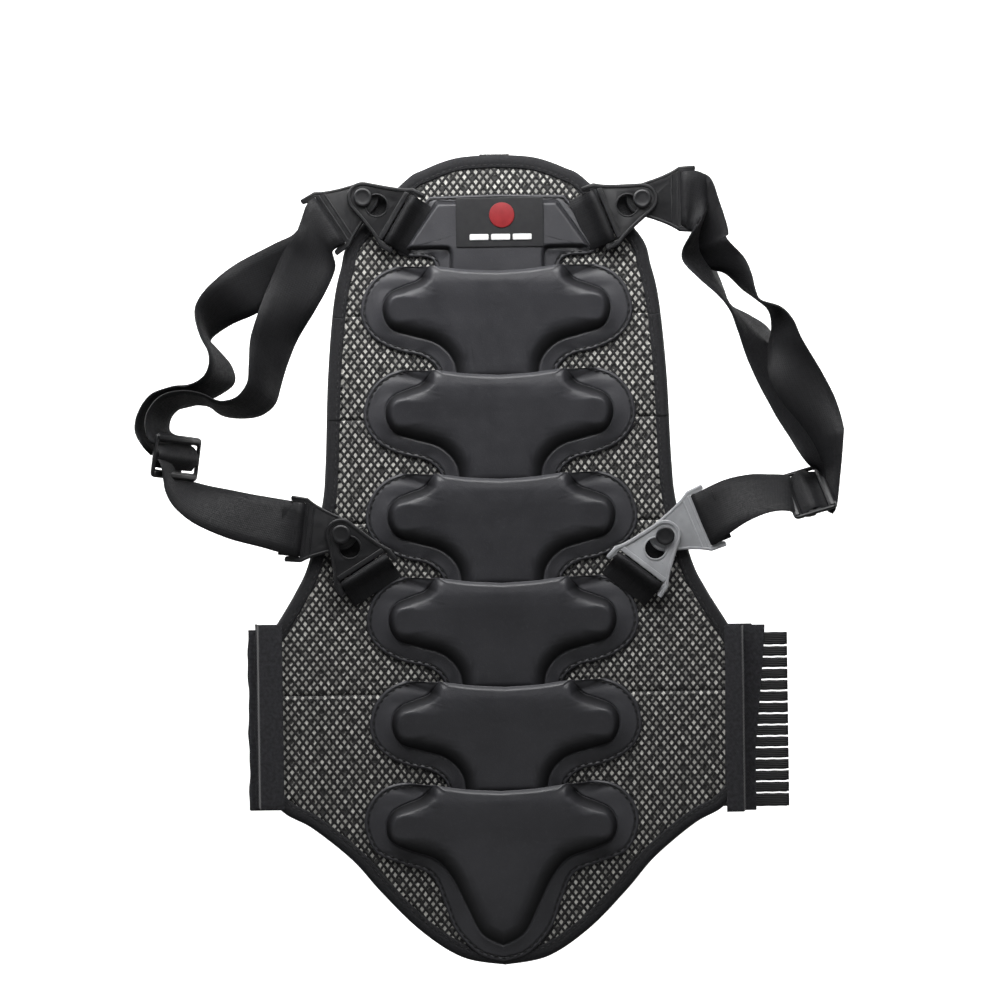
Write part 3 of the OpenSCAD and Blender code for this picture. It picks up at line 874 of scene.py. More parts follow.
def moulded(name, centre, pad, flange, rise, top_z, lip, aside, wall_side=7.8, wall_low=10.0,
            crown=1.2, seam_gap=2.7, floor=None, shade=1.0):
    """A moulded plate: a raised pad with rounded walls on a thin sewn flange. Its top edge is a
    lip that stands open over the tongue of the plate above."""
    count = RIM_POINTS
    centre = np.array(centre, float)
    pad_rim, flange_rim = radial_outlines(centre, pad, flange, count)
    pad_line = both_sides(pad)
    flange_line = both_sides(flange)
    rings = []
    across = np.linalg.norm(flange_rim - pad_rim, axis=1)[:, None]
    outward = (flange_rim - pad_rim) / across
    open_amount = np.array([
        lip * float(np.clip((LIP_HALF + LIP_FADE - abs(x)) / LIP_FADE, 0, 1))
        if z > top_z - 2 else 0.0 for x, z in pad_rim])[:, None]
    tight = np.minimum(1, across / 8.0)
    closing = 1 - 0.97 * open_amount
    for step in FLANGE_STEPS:
        rings.append(pad_rim + outward * (across - step * tight) * closing)
    for step in reversed(FOOT_STEPS):
        rings.append(pad_rim + outward * step * tight * closing)
    reach = np.linalg.norm(pad_rim - centre, axis=1)[:, None]
    narrow = np.minimum(1, reach / 22)
    for step in WALL_STEPS:
        rings.append(pad_rim - (pad_rim - centre) / reach * step * narrow)
    inner = reach - WALL_STEPS[-1] * narrow
    for share in CROWN_SHARES:
        rings.append(centre + (pad_rim - centre) / reach * inner * share)
    flat = np.vstack(rings)
    in_pad = distance_to(flat, pad_line)
    in_flange = distance_to(flat, flange_line)
    heights = []
    hollows = []
    for number, (x, z) in enumerate(flat):
        ring, spot = divmod(number, count)
        opened = float(open_amount[spot][0])
        local = z - top_z
        full = np.interp(-local, [-a for a, b in rise], [b for a, b in rise])
        d = in_pad[number]
        if ring < FLANGE_RINGS:
            from_edge = in_flange[number]
            height = FLANGE_RISE * (0.35 + 0.65 * min(1, (from_edge / 1.3)) ** 0.5)
            groove = math.exp(-((from_edge - seam_gap) / 0.6) ** 2)
            bead = math.exp(-((d - 1.1) / 0.7) ** 2) * min(1, from_edge / 4)
            swell = 0.35 * math.sin(math.pi * min(1, max(0, (from_edge - 4.5) / 6)))
            height += 0.6 * bead - 0.75 * groove + swell
            lip_height = full - LIP_DEPTH - 0.9 * (FLANGE_RINGS - 1 - ring) / FLANGE_RINGS
            height = height * (1 - opened) + lip_height * opened
            # Painted shade along the seam groove, left out under the open lip
            hollows.append(0.4 * groove * (1 - opened))
        else:
            low = float(np.clip((-local - LOW_START) / (LOW_END - LOW_START), 0, 1))
            tip = float(np.clip((abs(x) - TIP_START) / (TIP_END - TIP_START), 0, 1))
            wall = wall_side * (1 - low) + wall_low * low
            wall = wall * (1 - tip) + min(wall, TIP_WALL) * tip
            wall = wall * (1 - opened) + LIP_WALL * opened
            wall = min(wall, 0.8 * max(2.0, reach[spot][0]))
            t = min(1, d / wall)
            profile = 1 - (1 - t) ** 1.4
            start = FLANGE_RISE * (1 - opened) + (full - LIP_DEPTH) * opened
            height = start + (full - start) * profile
            height += crown * profile * math.exp(-((x - centre[0]) / CROWN_WIDTH) ** 2)
            # Painted shade down the wall, darkest near its foot and none under the open lip
            hollows.append(shade * min(1, 12 * t) * (1 - t) ** 0.8 * (1 - opened))
        heights.append(height)
    top = [(x, MESH_Y - h, z) for (x, z), h in zip(flat, heights)]
    under = [(x, min(y + SKIN, floor(z) if floor else REST_Y), z) for x, y, z in top]
    builder = Builder()
    rows = [top[r * count:(r + 1) * count] for r in range(len(rings))]
    builder.grid(rows, closed_columns=True)
    below = [under[r * count:(r + 1) * count] for r in range(len(rings))]
    builder.grid(below[::-1], closed_columns=True)
    total = len(rings) * count
    last_under = 2 * total - count
    for c in range(count):
        d = (c + 1) % count
        builder.faces.append((c, last_under + c, last_under + d, d))
        builder.sides.append(0)
    peak = len(builder.points)
    mean_top = sum(p[1] for p in rows[-1]) / count
    builder.points += [(centre[0], mean_top, centre[1]), (centre[0], mean_top + SKIN, centre[1])]
    inner_top = (len(rings) - 1) * count
    for c in range(count):
        d = (c + 1) % count
        builder.faces += [(inner_top + c, inner_top + d, peak), (total + d, total + c, peak + 1)]
        builder.sides += [0, 0]
    # The seam runs in the groove, except under the open lip and below the next plate's lip
    seam = inset(resample(flange_line, 700), seam_gap)
    shown = [(x, z) for x, z in seam
             if not (abs(x) < LIP_HALF and lip and z > top_z - 8)]
    for path in seam_runs(shown):
        stitches(builder, path, MESH_Y - FLANGE_RISE - 0.05, 5.3, 3.0, side=1)
    builder.points = [(x + aside, y, z) for x, y, z in builder.points]
    piece = builder.piece(name, [LEATHERETTE, DARK_THREAD])
    # The painted shade goes on the plate as a point attribute that the leatherette reads
    depth = piece.data.attributes.new("hollow", "FLOAT", "POINT")
    depth.data.foreach_set("value", hollows + [0.0] * (len(piece.data.vertices) - len(hollows)))
    return piece


def seam_runs(points):
    """Splits a list of neighbouring points where they jump, leaving out very short runs."""
    gap = 3.0
    runs = [[points[0]]]
    for a, b in zip(points, points[1:]):
        if math.dist(a, b) > gap:
            runs.append([])
        runs[-1].append(b)
    return [np.array(run) for run in runs if len(run) > 8]


for k, top in enumerate(PLATE_TOPS):
    pad = curved_half([(x, z + top) for x, z in SPINE_PAD], [3, 16])
    flange = curved_half([(x, z + top) for x, z in SPINE_FLANGE], [16])
    cover = moulded(f"plate_cover_{k + 1}", (0, top - 25), pad, flange, SPINE_RISE, top, 1.0,
                    PLATE_ASIDE[k])
    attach(cover, PLATE_BODIES[k])
    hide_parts(f"plate_{k + 1}")
    if k < 3:
        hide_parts(f"insert_{k + 1}")
    elif k == 3:
        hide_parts("inserts_lumbar")

tail_pad = curved_half([(x, z + TAIL_TOP) for x, z in TAIL_PAD], [3])
tail_flange = curved_half([(x, z + TAIL_TOP) for x, z in TAIL_FLANGE], [])
tail_cover = moulded(
    "tail_cover", (0, TAIL_TOP - 28), tail_pad, tail_flange, TAIL_RISE, TAIL_TOP, 1.0,
    TAIL_ASIDE, wall_low=10.5,
    floor=lambda z: MESH_Y - 0.8 if z > FLEX_Z[4] - 3 else REST_Y)
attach(tail_cover, "tail")
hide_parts("tail_plate", "insert_tail")

yoke_pad = curved_half(YOKE_PAD, [1, 3, 7], steps=6)
yoke_flange = curved_half(YOKE_FLANGE, [1, 8], steps=6)
yoke_cover = moulded("yoke_cover", (0, 137), yoke_pad, yoke_flange, YOKE_RISE, 0, 0.0, YOKE_ASIDE,
                     wall_side=2.6, crown=0.3, seam_gap=2.4, shade=0.5)
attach(yoke_cover, "neck")
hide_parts("yoke_plate")


# ---------------------------------------------------------------- flat moulded parts


def flat_solid(outline, holes, front, thickness, bevel, bevel_steps=2):
    """Points and faces of a plate with rounded edges: outline and holes are (u, v) loops, and
    the result is (u, depth, v) with its front at the given depth."""
    curve = bpy.data.curves.new("loops", "CURVE")
    curve.dimensions = "2D"
    curve.fill_mode = "BOTH"
    curve.extrude = thickness / 2 - bevel
    curve.bevel_depth = bevel
    curve.bevel_resolution = bevel_steps
    curve.offset = -bevel
    for loop in [outline, *holes]:
        spline = curve.splines.new("POLY")
        spline.points.add(len(loop) - 1)
        for point, (u, v) in zip(spline.points, loop):
            point.co = (u, v, 0, 1)
        spline.use_cyclic_u = True
    holder = bpy.data.objects.new("loops", curve)
    mesh = bpy.data.meshes.new_from_object(holder)
    work = bmesh.new()
    work.from_mesh(mesh)
    bmesh.ops.remove_doubles(work, verts=work.verts, dist=0.002)
    bmesh.ops.recalc_face_normals(work, faces=work.faces)
    points = [(p.co.x, front + thickness / 2 - p.co.z, p.co.y) for p in work.verts]
    faces = [tuple(v.index for v in face.verts) for face in work.faces]
    work.free()
    bpy.data.objects.remove(holder)
    bpy.data.curves.remove(curve)
    bpy.data.meshes.remove(mesh)
    return points, faces


def turned(points, place, angle, tilt):
    """Turns (u, depth, v) points by an angle in the XZ plane and sets them at a place."""
    a, b = math.radians(angle), math.radians(tilt)
    out = []
    for u, y, v in points:
        x, y = u * math.cos(b) - y * math.sin(b), u * math.sin(b) + y * math.cos(b)
        out.append((place[0] + x * math.cos(a) - v * math.sin(a), place[1] + y,
                    place[2] + x * math.sin(a) + v * math.cos(a)))
    return out


def solid_piece(name, solids, place, angle, material, tilt=0.0):
    """One piece from flat solids, turned together and set at a place."""
    builder = Builder()
    for points, faces in solids:
        builder.add(turned(points, place, angle, tilt), faces)
    return builder.piece(name, material, sharp=35)


def arc(centre, radius, start, end, steps):
    """Points on an arc, with its angles in degrees."""
    return [(centre[0] + radius * math.cos(math.radians(start + (end - start) * k / steps)),
             centre[1] + radius * math.sin(math.radians(start + (end - start) * k / steps)))
            for k in range(steps + 1)]


def box_loop(u0, u1, v0, v1, radius=0.6):
    """A rectangle with rounded corners."""
    corners = [((u1 - radius, v0 + radius), -90), ((u1 - radius, v1 - radius), 0),
               ((u0 + radius, v1 - radius), 90), ((u0 + radius, v0 + radius), 180)]
    return [p for centre, start in corners for p in arc(centre, radius, start, start + 90, 4)]


WEB_W = 38.0
WEB_T = 1.6
STUD_R = 3.3
HEAD_R = 6.5
TRAVEL = 11.0


# A tab's round nose ends this many degrees off its axis
NOSE_END = 72


def mirrored(points):
    """Points on the other side of a tab's axis, in reverse order."""
    return [(u, -v) for u, v in reversed(points)]


def tab_side(nose, bar, ear, half):
    """One side of a tab: its flank from the end of the nose, then the corners of its ear."""
    start = (nose * math.cos(math.radians(NOSE_END)), nose * math.sin(math.radians(NOSE_END)))
    flank = smooth([start, (-0.42 * bar, 0.74 * half), (-bar + 5, half - 1.2), (-bar - 1, half + 2.4)], 5)
    return [tuple(p) for p in flank], [(-ear, half + 3), (-ear - 0.6, half + 1.2), (-ear, half - 0.6)]


def tab_loop(nose, bar, ear, half, outer_bar):
    """A tab's outline: nose, flank, ear and outer bar, then the other side back to the nose."""
    flank, corners = tab_side(nose, bar, ear, half)
    loop = arc((0, 0), nose, -NOSE_END, 66, 24) + flank + corners
    loop += [(-outer_bar, half - 1.8), (-outer_bar, 1.8 - half)]
    return loop + mirrored(corners) + mirrored(flank)[:-1]


def rim_solid(nose, bar, ear, half, width, front, height):
    """A raised rib that follows the nose and both sides of a tab down to its ears."""
    flank, corners = tab_side(nose, bar, ear, half)
    top = flank + corners[:1]
    line = np.array(mirrored(top) + arc((0, 0), nose, -70, 70, 28) + top)
    along = unit_rows(np.gradient(line, axis=0))
    inward = np.stack([-along[:, 1], along[:, 0]], axis=1)
    loop = [tuple(p) for p in line + 0.35 * inward] + [tuple(p) for p in (line + width * inward)[::-1]]
    return flat_solid(loop, [], front - height, height + 1.0, 0.35)


def keyhole_loop():
    """A wide round hole joined to a narrow slot that ends round the stud."""
    wide = HEAD_R + 0.7
    slot = STUD_R + 0.35
    meet = math.degrees(math.asin(slot / wide))
    return arc((0, 0), slot, -90, 90, 12) + arc((-TRAVEL, 0), wide, meet, 360 - meet, 30)


def stud_piece(name, place):
    """A mushroom stud, turned about its axis: foot, neck and head with a dished top."""
    profile = [(0, -11.6), (6.1, -11.6), (HEAD_R, -11.9), (HEAD_R, -12.3), (6.1, -12.6), (STUD_R, -12.6),
               (STUD_R, -19.0), (5.9, -19.2), (6.45, -19.6), (HEAD_R, -20.2), (6.3, -21.2),
               (5.7, -21.65), (4.9, -21.7), (4.3, -21.5), (2.5, -21.4), (0, -21.4)]
    builder = Builder()
    turns = 40
    builder.grid([[(place[0] + r * math.cos(math.tau * k / turns), y,
                    place[1] + r * math.sin(math.tau * k / turns)) for k in range(turns)]
                  for r, y in profile[1:-1]], closed_columns=True)
    last = len(builder.points) - turns
    builder.points += [(place[0], profile[0][1], place[1]), (place[0], profile[-1][1], place[1])]
    for k in range(turns):
        m = (k + 1) % turns
        builder.faces += [(m, k, last + turns), (last + k, last + m, last + turns + 1)]
        builder.sides += [0, 0]
    return builder.piece(name, NYLON, sharp=35)


# Each connector's stud as x and z, the angles of its keyhole tab and strap tab, and its body
CONNECTORS = {
    "upper_left": (-91.8, 154.7, 149, 213, "neck"),
    "upper_right": (102.4, 151.1, 22, 0, "neck"),
    "lower_left": (-110.1, -79.1, 122, 173, "lumbar"),
    "lower_right": (115.1, -83.2, 52, 22, "lumbar"),
}
KEYHOLE_FRONT = -18.9
STRAP_TAB_FRONT = -15.3
# A tab's nose radius, the reach of its inner bar and of its ear, and half its width
KEYHOLE_TAB = (11, 26, 36, 21)
STRAP_TAB = (11, 25, 37, 20.2)


def keyhole_tab_piece(name, place, plastic):
    """The tab on the panel: plate with keyhole and slot, rib, crossbar and a collar round the hole."""
    base = flat_solid(
        tab_loop(*KEYHOLE_TAB, 31.2),
        [keyhole_loop(), box_loop(-30.2, -26.9, -WEB_W / 2 - 0.3, WEB_W / 2 + 0.3)],
        KEYHOLE_FRONT + 0.35, 2.8, 0.45)
    rim = rim_solid(*KEYHOLE_TAB, 2.5, KEYHOLE_FRONT, 0.35)
    crossbar = flat_solid(box_loop(-26.7, -23.2, -18.6, 18.6, 0.5), [], KEYHOLE_FRONT - 0.3, 1.5, 0.4)
    collar = flat_solid(arc((-TRAVEL, 0), 8.4, 38, 322, 30) + arc((-TRAVEL, 0), 7.25, 322, 38, 30),
                        [], KEYHOLE_FRONT - 0.05, 1.0, 0.25)
    return solid_piece(name, (base, rim, crossbar, collar), (place[0], 0, place[1]), place[2], plastic)


def strap_tab_piece(name, place, plastic):
    """The tab on the strap: plate with stud hole and slot, rib and two ridges."""
    hole = arc((0, 0), STUD_R + 0.3, 0, 348, 24)
    base = flat_solid(
        tab_loop(*STRAP_TAB, 33),
        [hole, box_loop(-30.4, -27.2, -WEB_W / 2, WEB_W / 2)],
        STRAP_TAB_FRONT + 0.3, 2.2, 0.4)
    rim = rim_solid(*STRAP_TAB, 2.0, STRAP_TAB_FRONT + 0.3, 0.3)
    ridges = [flat_solid(box_loop(u, u + 1.4, -half, half, 0.4), [], STRAP_TAB_FRONT, 1.2, 0.3)
              for u, half in ((-21.6, 17.5), (-25.6, 19))]
    return solid_piece(name, (base, rim, *ridges), (place[0], 0, place[1]), place[3] + 180, plastic)


# ---------------------------------------------------------------- webbing


def ribbon(stations, width, thickness, step):
    """A strap through stations (edge one, edge two), each edge an (x, y, z) point. Returns its
    cross-sections and the texture place of each of their points."""
    line = np.array([[*a, *b] for a, b in stations], float)
    fine = smooth(line, 14)
    middle = (fine[:, :3] + fine[:, 3:]) / 2
    length = np.concatenate([[0], np.cumsum(np.linalg.norm(np.diff(middle, axis=0), axis=1))])
    count = max(3, int(length[-1] / step))
    wanted = np.linspace(0, length[-1], count)
    even = np.stack([np.interp(wanted, length, fine[:, k]) for k in range(6)], axis=1)
    a, b = even[:, :3], even[:, 3:]
    centre = (a + b) / 2
    along = unit_rows(np.gradient(centre, axis=0))
    span = np.linalg.norm(b - a, axis=1, keepdims=True)
    across = unit_rows(b - a)
    normal = unit_rows(np.cross(along, across))
    shares = [-0.5, -0.485, -0.3, 0, 0.3, 0.485, 0.5]
    rings = []
    uv = []
    for i in range(count):
        wave = 0.35 * math.sin(wanted[i] / 9.0) + 0.2 * math.sin(wanted[i] / 4.1 + 1)
        ring = []
        for face in (1, -1):
            for share in shares if face == 1 else shares[::-1]:
                edge = abs(share) > 0.49
                thick = 0.0 if edge else face * thickness / 2
                bow = 0.5 * (1 - (2 * share) ** 2) + wave * share
                if edge and face == -1:
                    continue
                ring.append(centre[i] + across[i] * share * span[i] + normal[i] * (thick + bow))
                uv.append((share * width, wanted[i]))
        rings.append(ring)
    return rings, uv


def cut_chain(name, rings, uv, bodies):
    """Cuts a strap into one piece for each joint that it crosses, that is for each step from one
    listed body to the next."""
    count = len(rings)
    size = len(rings[0])
    cuts = [round((count - 1) * k / (len(bodies) - 1)) for k in range(len(bodies))]
    pieces = []
    for k in range(len(bodies) - 1):
        part = rings[cuts[k]:cuts[k + 1] + 1]
        builder = Builder()
        builder.tube(part)
        piece = builder.piece(f"{name}_{k + 1}", WEBBING,
                              uv=uv[cuts[k] * size:(cuts[k + 1] + 1) * size], sharp=60)
        first, last = np.array(part[0]), np.array(part[-1])
        start, end = first.mean(axis=0), last.mean(axis=0)
        way = (end - start) / np.linalg.norm(end - start)
        low = max((first - start) @ way) + 0.5
        high = min((last - start) @ way) - 0.5
        if high < low + 2:
            raise ValueError(f"{name}_{k + 1}: the ends of the piece overlap along its chord")
        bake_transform(piece)
        pieces.append(piece)
    return pieces


CAMERA_X, CAMERA_BACK, CAMERA_Z = 0.7, 2200.0, -56.8
CAMERA_ROLL = math.radians(0.8)
# Distance from the camera to the plane in which the straps' edges are given
SEEN_PLANE = 2197.0


def from_view(x, z, depth):
    """Where a point lies at a depth, from its place as the slightly rolled camera sees it."""
    dx, dz = x - CAMERA_X, z - CAMERA_Z
    near = (CAMERA_BACK + depth) / SEEN_PLANE
    return (CAMERA_X + near * (dx * math.cos(CAMERA_ROLL) + dz * math.sin(CAMERA_ROLL)), depth,
            CAMERA_Z + near * (dz * math.cos(CAMERA_ROLL) - dx * math.sin(CAMERA_ROLL)))


def tilted_stations(pairs, depth, lean, last_depth=None):
    """Stations from seen edges: where a strap looks narrower than it is, it leans in depth."""
    out = []
    first_depth = depth
    for number, ((x1, z1), (x2, z2)) in enumerate(pairs):
        if last_depth is not None:
            depth = first_depth + (last_depth - first_depth) * number / (len(pairs) - 1)
        seen = math.dist((x1, z1), (x2, z2))
        tip = lean * math.sqrt(max(0, WEB_W**2 - min(seen, WEB_W) ** 2)) / 2
        out.append((from_view(x1, z1, depth + tip), from_view(x2, z2, depth - tip)))
    return out


def tab_station(place, reach, depth, flip=1):
    """A straight station across a strap tab's bar, at a reach from the stud."""
    a = math.radians(place[3])
    middle = (place[0] + reach * math.cos(a), place[1] + reach * math.sin(a))
    side = (-math.sin(a) * WEB_W / 2 * flip, math.cos(a) * WEB_W / 2 * flip)
    return ((middle[0] + side[0], depth, middle[1] + side[1]),
            (middle[0] - side[0], depth, middle[1] - side[1]))


UPPER_LEFT, UPPER_RIGHT = CONNECTORS["upper_left"], CONNECTORS["upper_right"]
LOWER_LEFT, LOWER_RIGHT = CONNECTORS["lower_left"], CONNECTORS["lower_right"]
# Reaches from a stud and depths of the webbing round a strap tab's bar, and depths of the straps
LOOP_REACH = 27.9
BAR_REACH = 29.6
LOOP_FRONT = -14.2
LOOP_BACK = -14.0
OVER_BAR = -16.7
UNDER_BAR = -11.8
FRONT_RUN = -16.0
BACK_RUN = -10.5

# Both edges of each strap, (x, z) and (x, z), as seen from the camera
LEFT_FRONT = [
    ((-142, 130.3), (-114.4, 106.2)), ((-151, 116.9), (-119.7, 91.9)),
    ((-159.9, 97.3), (-129.6, 74)), ((-168.9, 74), (-140.3, 56.2)),
    ((-174.2, 56.2), (-148.3, 36.5)), ((-175.1, 38.3), (-152.8, 22.2)),
    ((-176, 25.8), (-157.2, 9.7)), ((-183.1, 16), (-167.1, 2.1)),
    ((-192, 12.4), (-181.4, 0.5)), ((-199.2, 13.3), (-193.9, 2.6)),
    ((-208.1, 17.2), (-203.7, 9.4)), ((-222.4, 19.6), (-218, 9.4)),
    ((-236.7, 16), (-226.9, 4.4)), ((-246.5, 4.4), (-230.5, -2.8)),
    ((-247.4, -8.1), (-229.6, -9.9)), ((-243, -17), (-220.6, -14.4)),
]
LEFT_BACK = [
    ((-142, 131.2), (-125, 99)), ((-158.1, 122.3), (-151, 86.5)), ((-184.9, 108), (-168.9, 74)),
    ((-202.8, 93.7), (-186.7, 66)), ((-211.7, 81.2), (-199.2, 58)),
    ((-212.3, 70.5), (-202.4, 54)), ((-208.1, 57.1), (-201.4, 52.3)),
    ((-203.7, 48.1), (-196.5, 47.6)), ((-203.1, 38.3), (-187.6, 37.4)),
    ((-207.3, 29.4), (-184.9, 25.8)), ((-217.1, 23.7), (-193.9, 17.8)),
    ((-229.6, 22.2), (-212, 10)), ((-243.9, 16.9), (-231.4, 4.4)),
    ((-252.8, 4.4), (-238.5, -4.5)), ((-254.6, -8.1), (-238.5, -11.7)),
    ((-249.2, -18.8), (-233.2, -20.6)),
]
LEFT_LOWER = [
    ((-236.7, -31.3), (-220.6, -29.5)), ((-234.6, -42), (-223.3, -42.4)),
    ((-233.2, -51), (-215.3, -44.2)), ((-226.9, -62.6), (-204.6, -46.5)),
    ((-213.5, -73.3), (-190.3, -49.2)), ((-190.3, -83.5), (-170.6, -53.1)),
    ((-165.3, -90.3), (-151, -56.3)),
]
RIGHT_INNER = [
    ((133, 131.1), (138.8, 173.6)), ((135.9, 133.3), (146.7, 169)),
    ((138.8, 136), (149.1, 158.9)), ((138.1, 134.7), (145.4, 145.2)),
    ((133, 126.9), (142.1, 133.3)), ((128.4, 117.7), (142.1, 125.9)),
    ((129.7, 109.5), (144.3, 115.9)), ((140.3, 98.8), (151.3, 104.3)),
    ((153.1, 87.5), (156.8, 91.2)), ((162.3, 75.6), (162.3, 79.3)),
    ((166.8, 63.7), (175.1, 72.5)), ((172.3, 47.2), (187.9, 63.7)),
    ((178.7, 30.7), (198.9, 45.4)), ((189.7, 9.7), (209.9, 23.4)),
    ((202.5, -11.4), (222.7, 3.3)), ((215.3, -30.6), (231.8, -16.9)),
]
RIGHT_OUTER = [
    ((139.2, 135.1), (146.7, 170.3)), ((139.5, 127.8), (154, 153.4)),
    ((138.5, 120.5), (160.6, 131.4)), ((140, 115), (159.1, 126.9)),
    ((147.5, 105.4), (171.5, 113.5)), ((158.4, 101.7), (177, 101.2)),
    ((170.5, 91.2), (179.1, 90.2)), ((181.5, 83.5), (182.8, 82.9)),
    ((189.3, 75), (197, 78.3)), ((190.6, 62.8), (206.2, 69.2)),
    ((187.9, 50), (212.6, 55.5)), ((188.3, 30.7), (226.3, 32.6)),
    ((196.1, 11.5), (235.5, 14.3)), ((208, -10.5), (241, -4.1)),
    ((217.2, -27.9), (241, -13.2)),
]
RIGHT_LOWER = [
    ((201.6, -39.5), (202.5, -64.5)), ((187.9, -38.8), (189.7, -65.4)),
    ((173.2, -39.2), (176.9, -70.3)), ((156.8, -42.9), (165, -77.7)),
]


SLIDER_Y = -12.0
# Each slider's place, its turn in the view and its tilt, in degrees
SLIDERS = {"left": ((-224.6, -24), -8, 50), "right": ((215.3, -54), 106, 45)}


def slider_run(side, flip, *stops):
    """Stations across a slider, each at a distance along its strap direction and a depth."""
    (x, z), turn, tilt = SLIDERS[side]
    half = WEB_W / 2 * flip
    return [turned([(-half, depth, v), (half, depth, v)], (x, SLIDER_Y, z), turn, tilt)
            for v, depth in stops]


def slider_piece(side):
    """A slider's frame with two slots, and a raised bar along each end."""
    (x, z), turn, tilt = SLIDERS[side]
    slots = [box_loop(-19.4, 19.4, row - 2.9, row + 2.9, 1.2) for row in (-7, 7)]
    frame_solid = flat_solid(box_loop(-22, 22, -15.5, 15.5, 3.5), slots, -1.4, 2.8, 1.1, 3)
    bars = [flat_solid(box_loop(-20.5, 20.5, row - 1.9, row + 1.9, 1.2), [], -2.4, 2.4, 0.9)
            for row in (-12.7, 12.7)]
    return solid_piece(f"slider_{side}_frame", (frame_solid, *bars), (x, SLIDER_Y, z), turn, NYLON, tilt)


def strap(name, stations, bodies):
    """A strap through its stations, in one piece for each step from body to body."""
    rings, uv = ribbon(stations, WEB_W, WEB_T, 2.2)
    return cut_chain(name, rings, uv, bodies)


def from_tab(place, loop_depth, bar_depth):
    """The first stations of a shoulder strap: behind its tab's bar, then over or under the bar."""
    return [tab_station(place, LOOP_REACH, loop_depth, -1), tab_station(place, BAR_REACH, bar_depth, -1)]


def to_tab(place):
    """The last stations of a lower strap: over its tab's bar, then behind the bar."""
    return [tab_station(place, 31.5, OVER_BAR), tab_station(place, BAR_REACH, OVER_BAR),
            tab_station(place, LOOP_REACH, LOOP_FRONT)]


left_front = strap("strap_left_front", [
    *from_tab(UPPER_LEFT, LOOP_FRONT, OVER_BAR),
    ((-131.5, -17.5, 149.5), (-113.2, -16.5, 118.8)),
    *tilted_stations(LEFT_FRONT, FRONT_RUN, -1),
    *slider_run("left", 1, (7.5, 2.4), (4.6, 0), (0, -2.9), (-4.6, 0), (-8, 2.6)),
], ["strap_tab_upper_left", "stud_upper_left", "neck", "shoulder", "thoracic"])
strap("strap_left_back", [
    *from_tab(UPPER_LEFT, LOOP_BACK, UNDER_BAR),
    ((-132, -11, 149.5), (-114, -11, 117.5)),
    *tilted_stations(LEFT_BACK, BACK_RUN, -1), *slider_run("left", 1, (0, 6.5)),
], ["strap_tab_upper_left", "stud_upper_left", "neck", "shoulder", "thoracic"])
left_lower = strap("strap_left_lower", [
    *slider_run("left", 1, (1, 4.6)),
    *tilted_stations(LEFT_LOWER, -12.5, -1),
    *to_tab(LOWER_LEFT),
], ["thoracic", "lower_back", "lumbar", "stud_lower_left", "strap_tab_lower_left"])
right_inner = strap("strap_right_inner", [
    *from_tab(UPPER_RIGHT, LOOP_FRONT, OVER_BAR),
    *tilted_stations(RIGHT_INNER, -15.0, -1, -7.0),
    *slider_run("right", -1, (-14, 4.0), (-8, 3.5)),
], ["strap_tab_upper_right", "stud_upper_right", "neck", "shoulder", "thoracic", "lower_back"])
strap("strap_right_outer", [
    *from_tab(UPPER_RIGHT, LOOP_BACK, UNDER_BAR),
    *tilted_stations(RIGHT_OUTER[:-4], -9.0, 0.6, -13.0),
    *tilted_stations(RIGHT_OUTER[-4:], -14.0, 1),
    *slider_run("right", -1, (-15, 2.5), (-9, 2.0), (-5, 0.5), (0, -2.9), (5, 0), (9, 2.6)),
], ["strap_tab_upper_right", "stud_upper_right", "neck", "shoulder", "thoracic", "lower_back"])
strap("strap_right_lower", [
    *slider_run("right", -1, (0, 5), (7, 4)),
    *tilted_stations(RIGHT_LOWER, -12.5, 1),
    *to_tab(LOWER_RIGHT),
], ["lower_back", "lumbar", "stud_lower_right", "strap_tab_lower_right"])


def sewn_tail(side, place):
    """The strap's end behind its tab, sewn back on the strap."""
    rings, uv = ribbon([
        tab_station(place, LOOP_REACH, -13.9), tab_station(place, BAR_REACH, UNDER_BAR),
        tab_station(place, 36, -13.0), tab_station(place, 42.5, -13.6),
    ], WEB_W - 0.5, WEB_T, 2.2)
    builder = Builder()
    builder.tube(rings)
    tail = builder.piece(f"strap_tail_{side}", WEBBING, uv=uv, sharp=60)
    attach(tail, f"strap_tab_{side}")
    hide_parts(f"strap_end_{side}")


sewn_tail("lower_left", LOWER_LEFT)
sewn_tail("lower_right", LOWER_RIGHT)
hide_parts("strap_end_upper_left")
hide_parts("strap_end_upper_right")
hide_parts("straps_shoulder")
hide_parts("straps_thoracic")
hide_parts("straps_lower_back")

for side in SLIDERS:
    slider = slider_piece(side)
    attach(slider, f"slider_{side}")
    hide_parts(f"slider_{side}")


def behind_stud(place, reach, depth, width):
    """A straight station across an anchor's webbing, at a reach behind the stud."""
    a = math.radians(place[2])
    middle = (place[0] - reach * math.cos(a), place[1] - reach * math.sin(a))
    across = (-math.sin(a) * width / 2, math.cos(a) * width / 2)
    return ((middle[0] + across[0], depth, middle[1] + across[1]),
            (middle[0] - across[0], depth, middle[1] - across[1]))


# An anchor's webbing as (reach behind the stud, depth): sewn flat, then round the tab's bar
ANCHOR_COURSE = [(46, -9.6), (38, -10.6), (31, -12.0), (28.7, -14.5), (28.6, -18.2), (29.8, -19.9),
                 (32.2, -19.6), (37, -14.6), (41, -12.4), (47, -10.4)]
# A narrow tongue of the webbing runs on behind the keyhole
TONGUE_W = 20
TONGUE_COURSE = [(34, -11.5), (28, -11.2), (18, -10.8), (3.2, -10.8)]


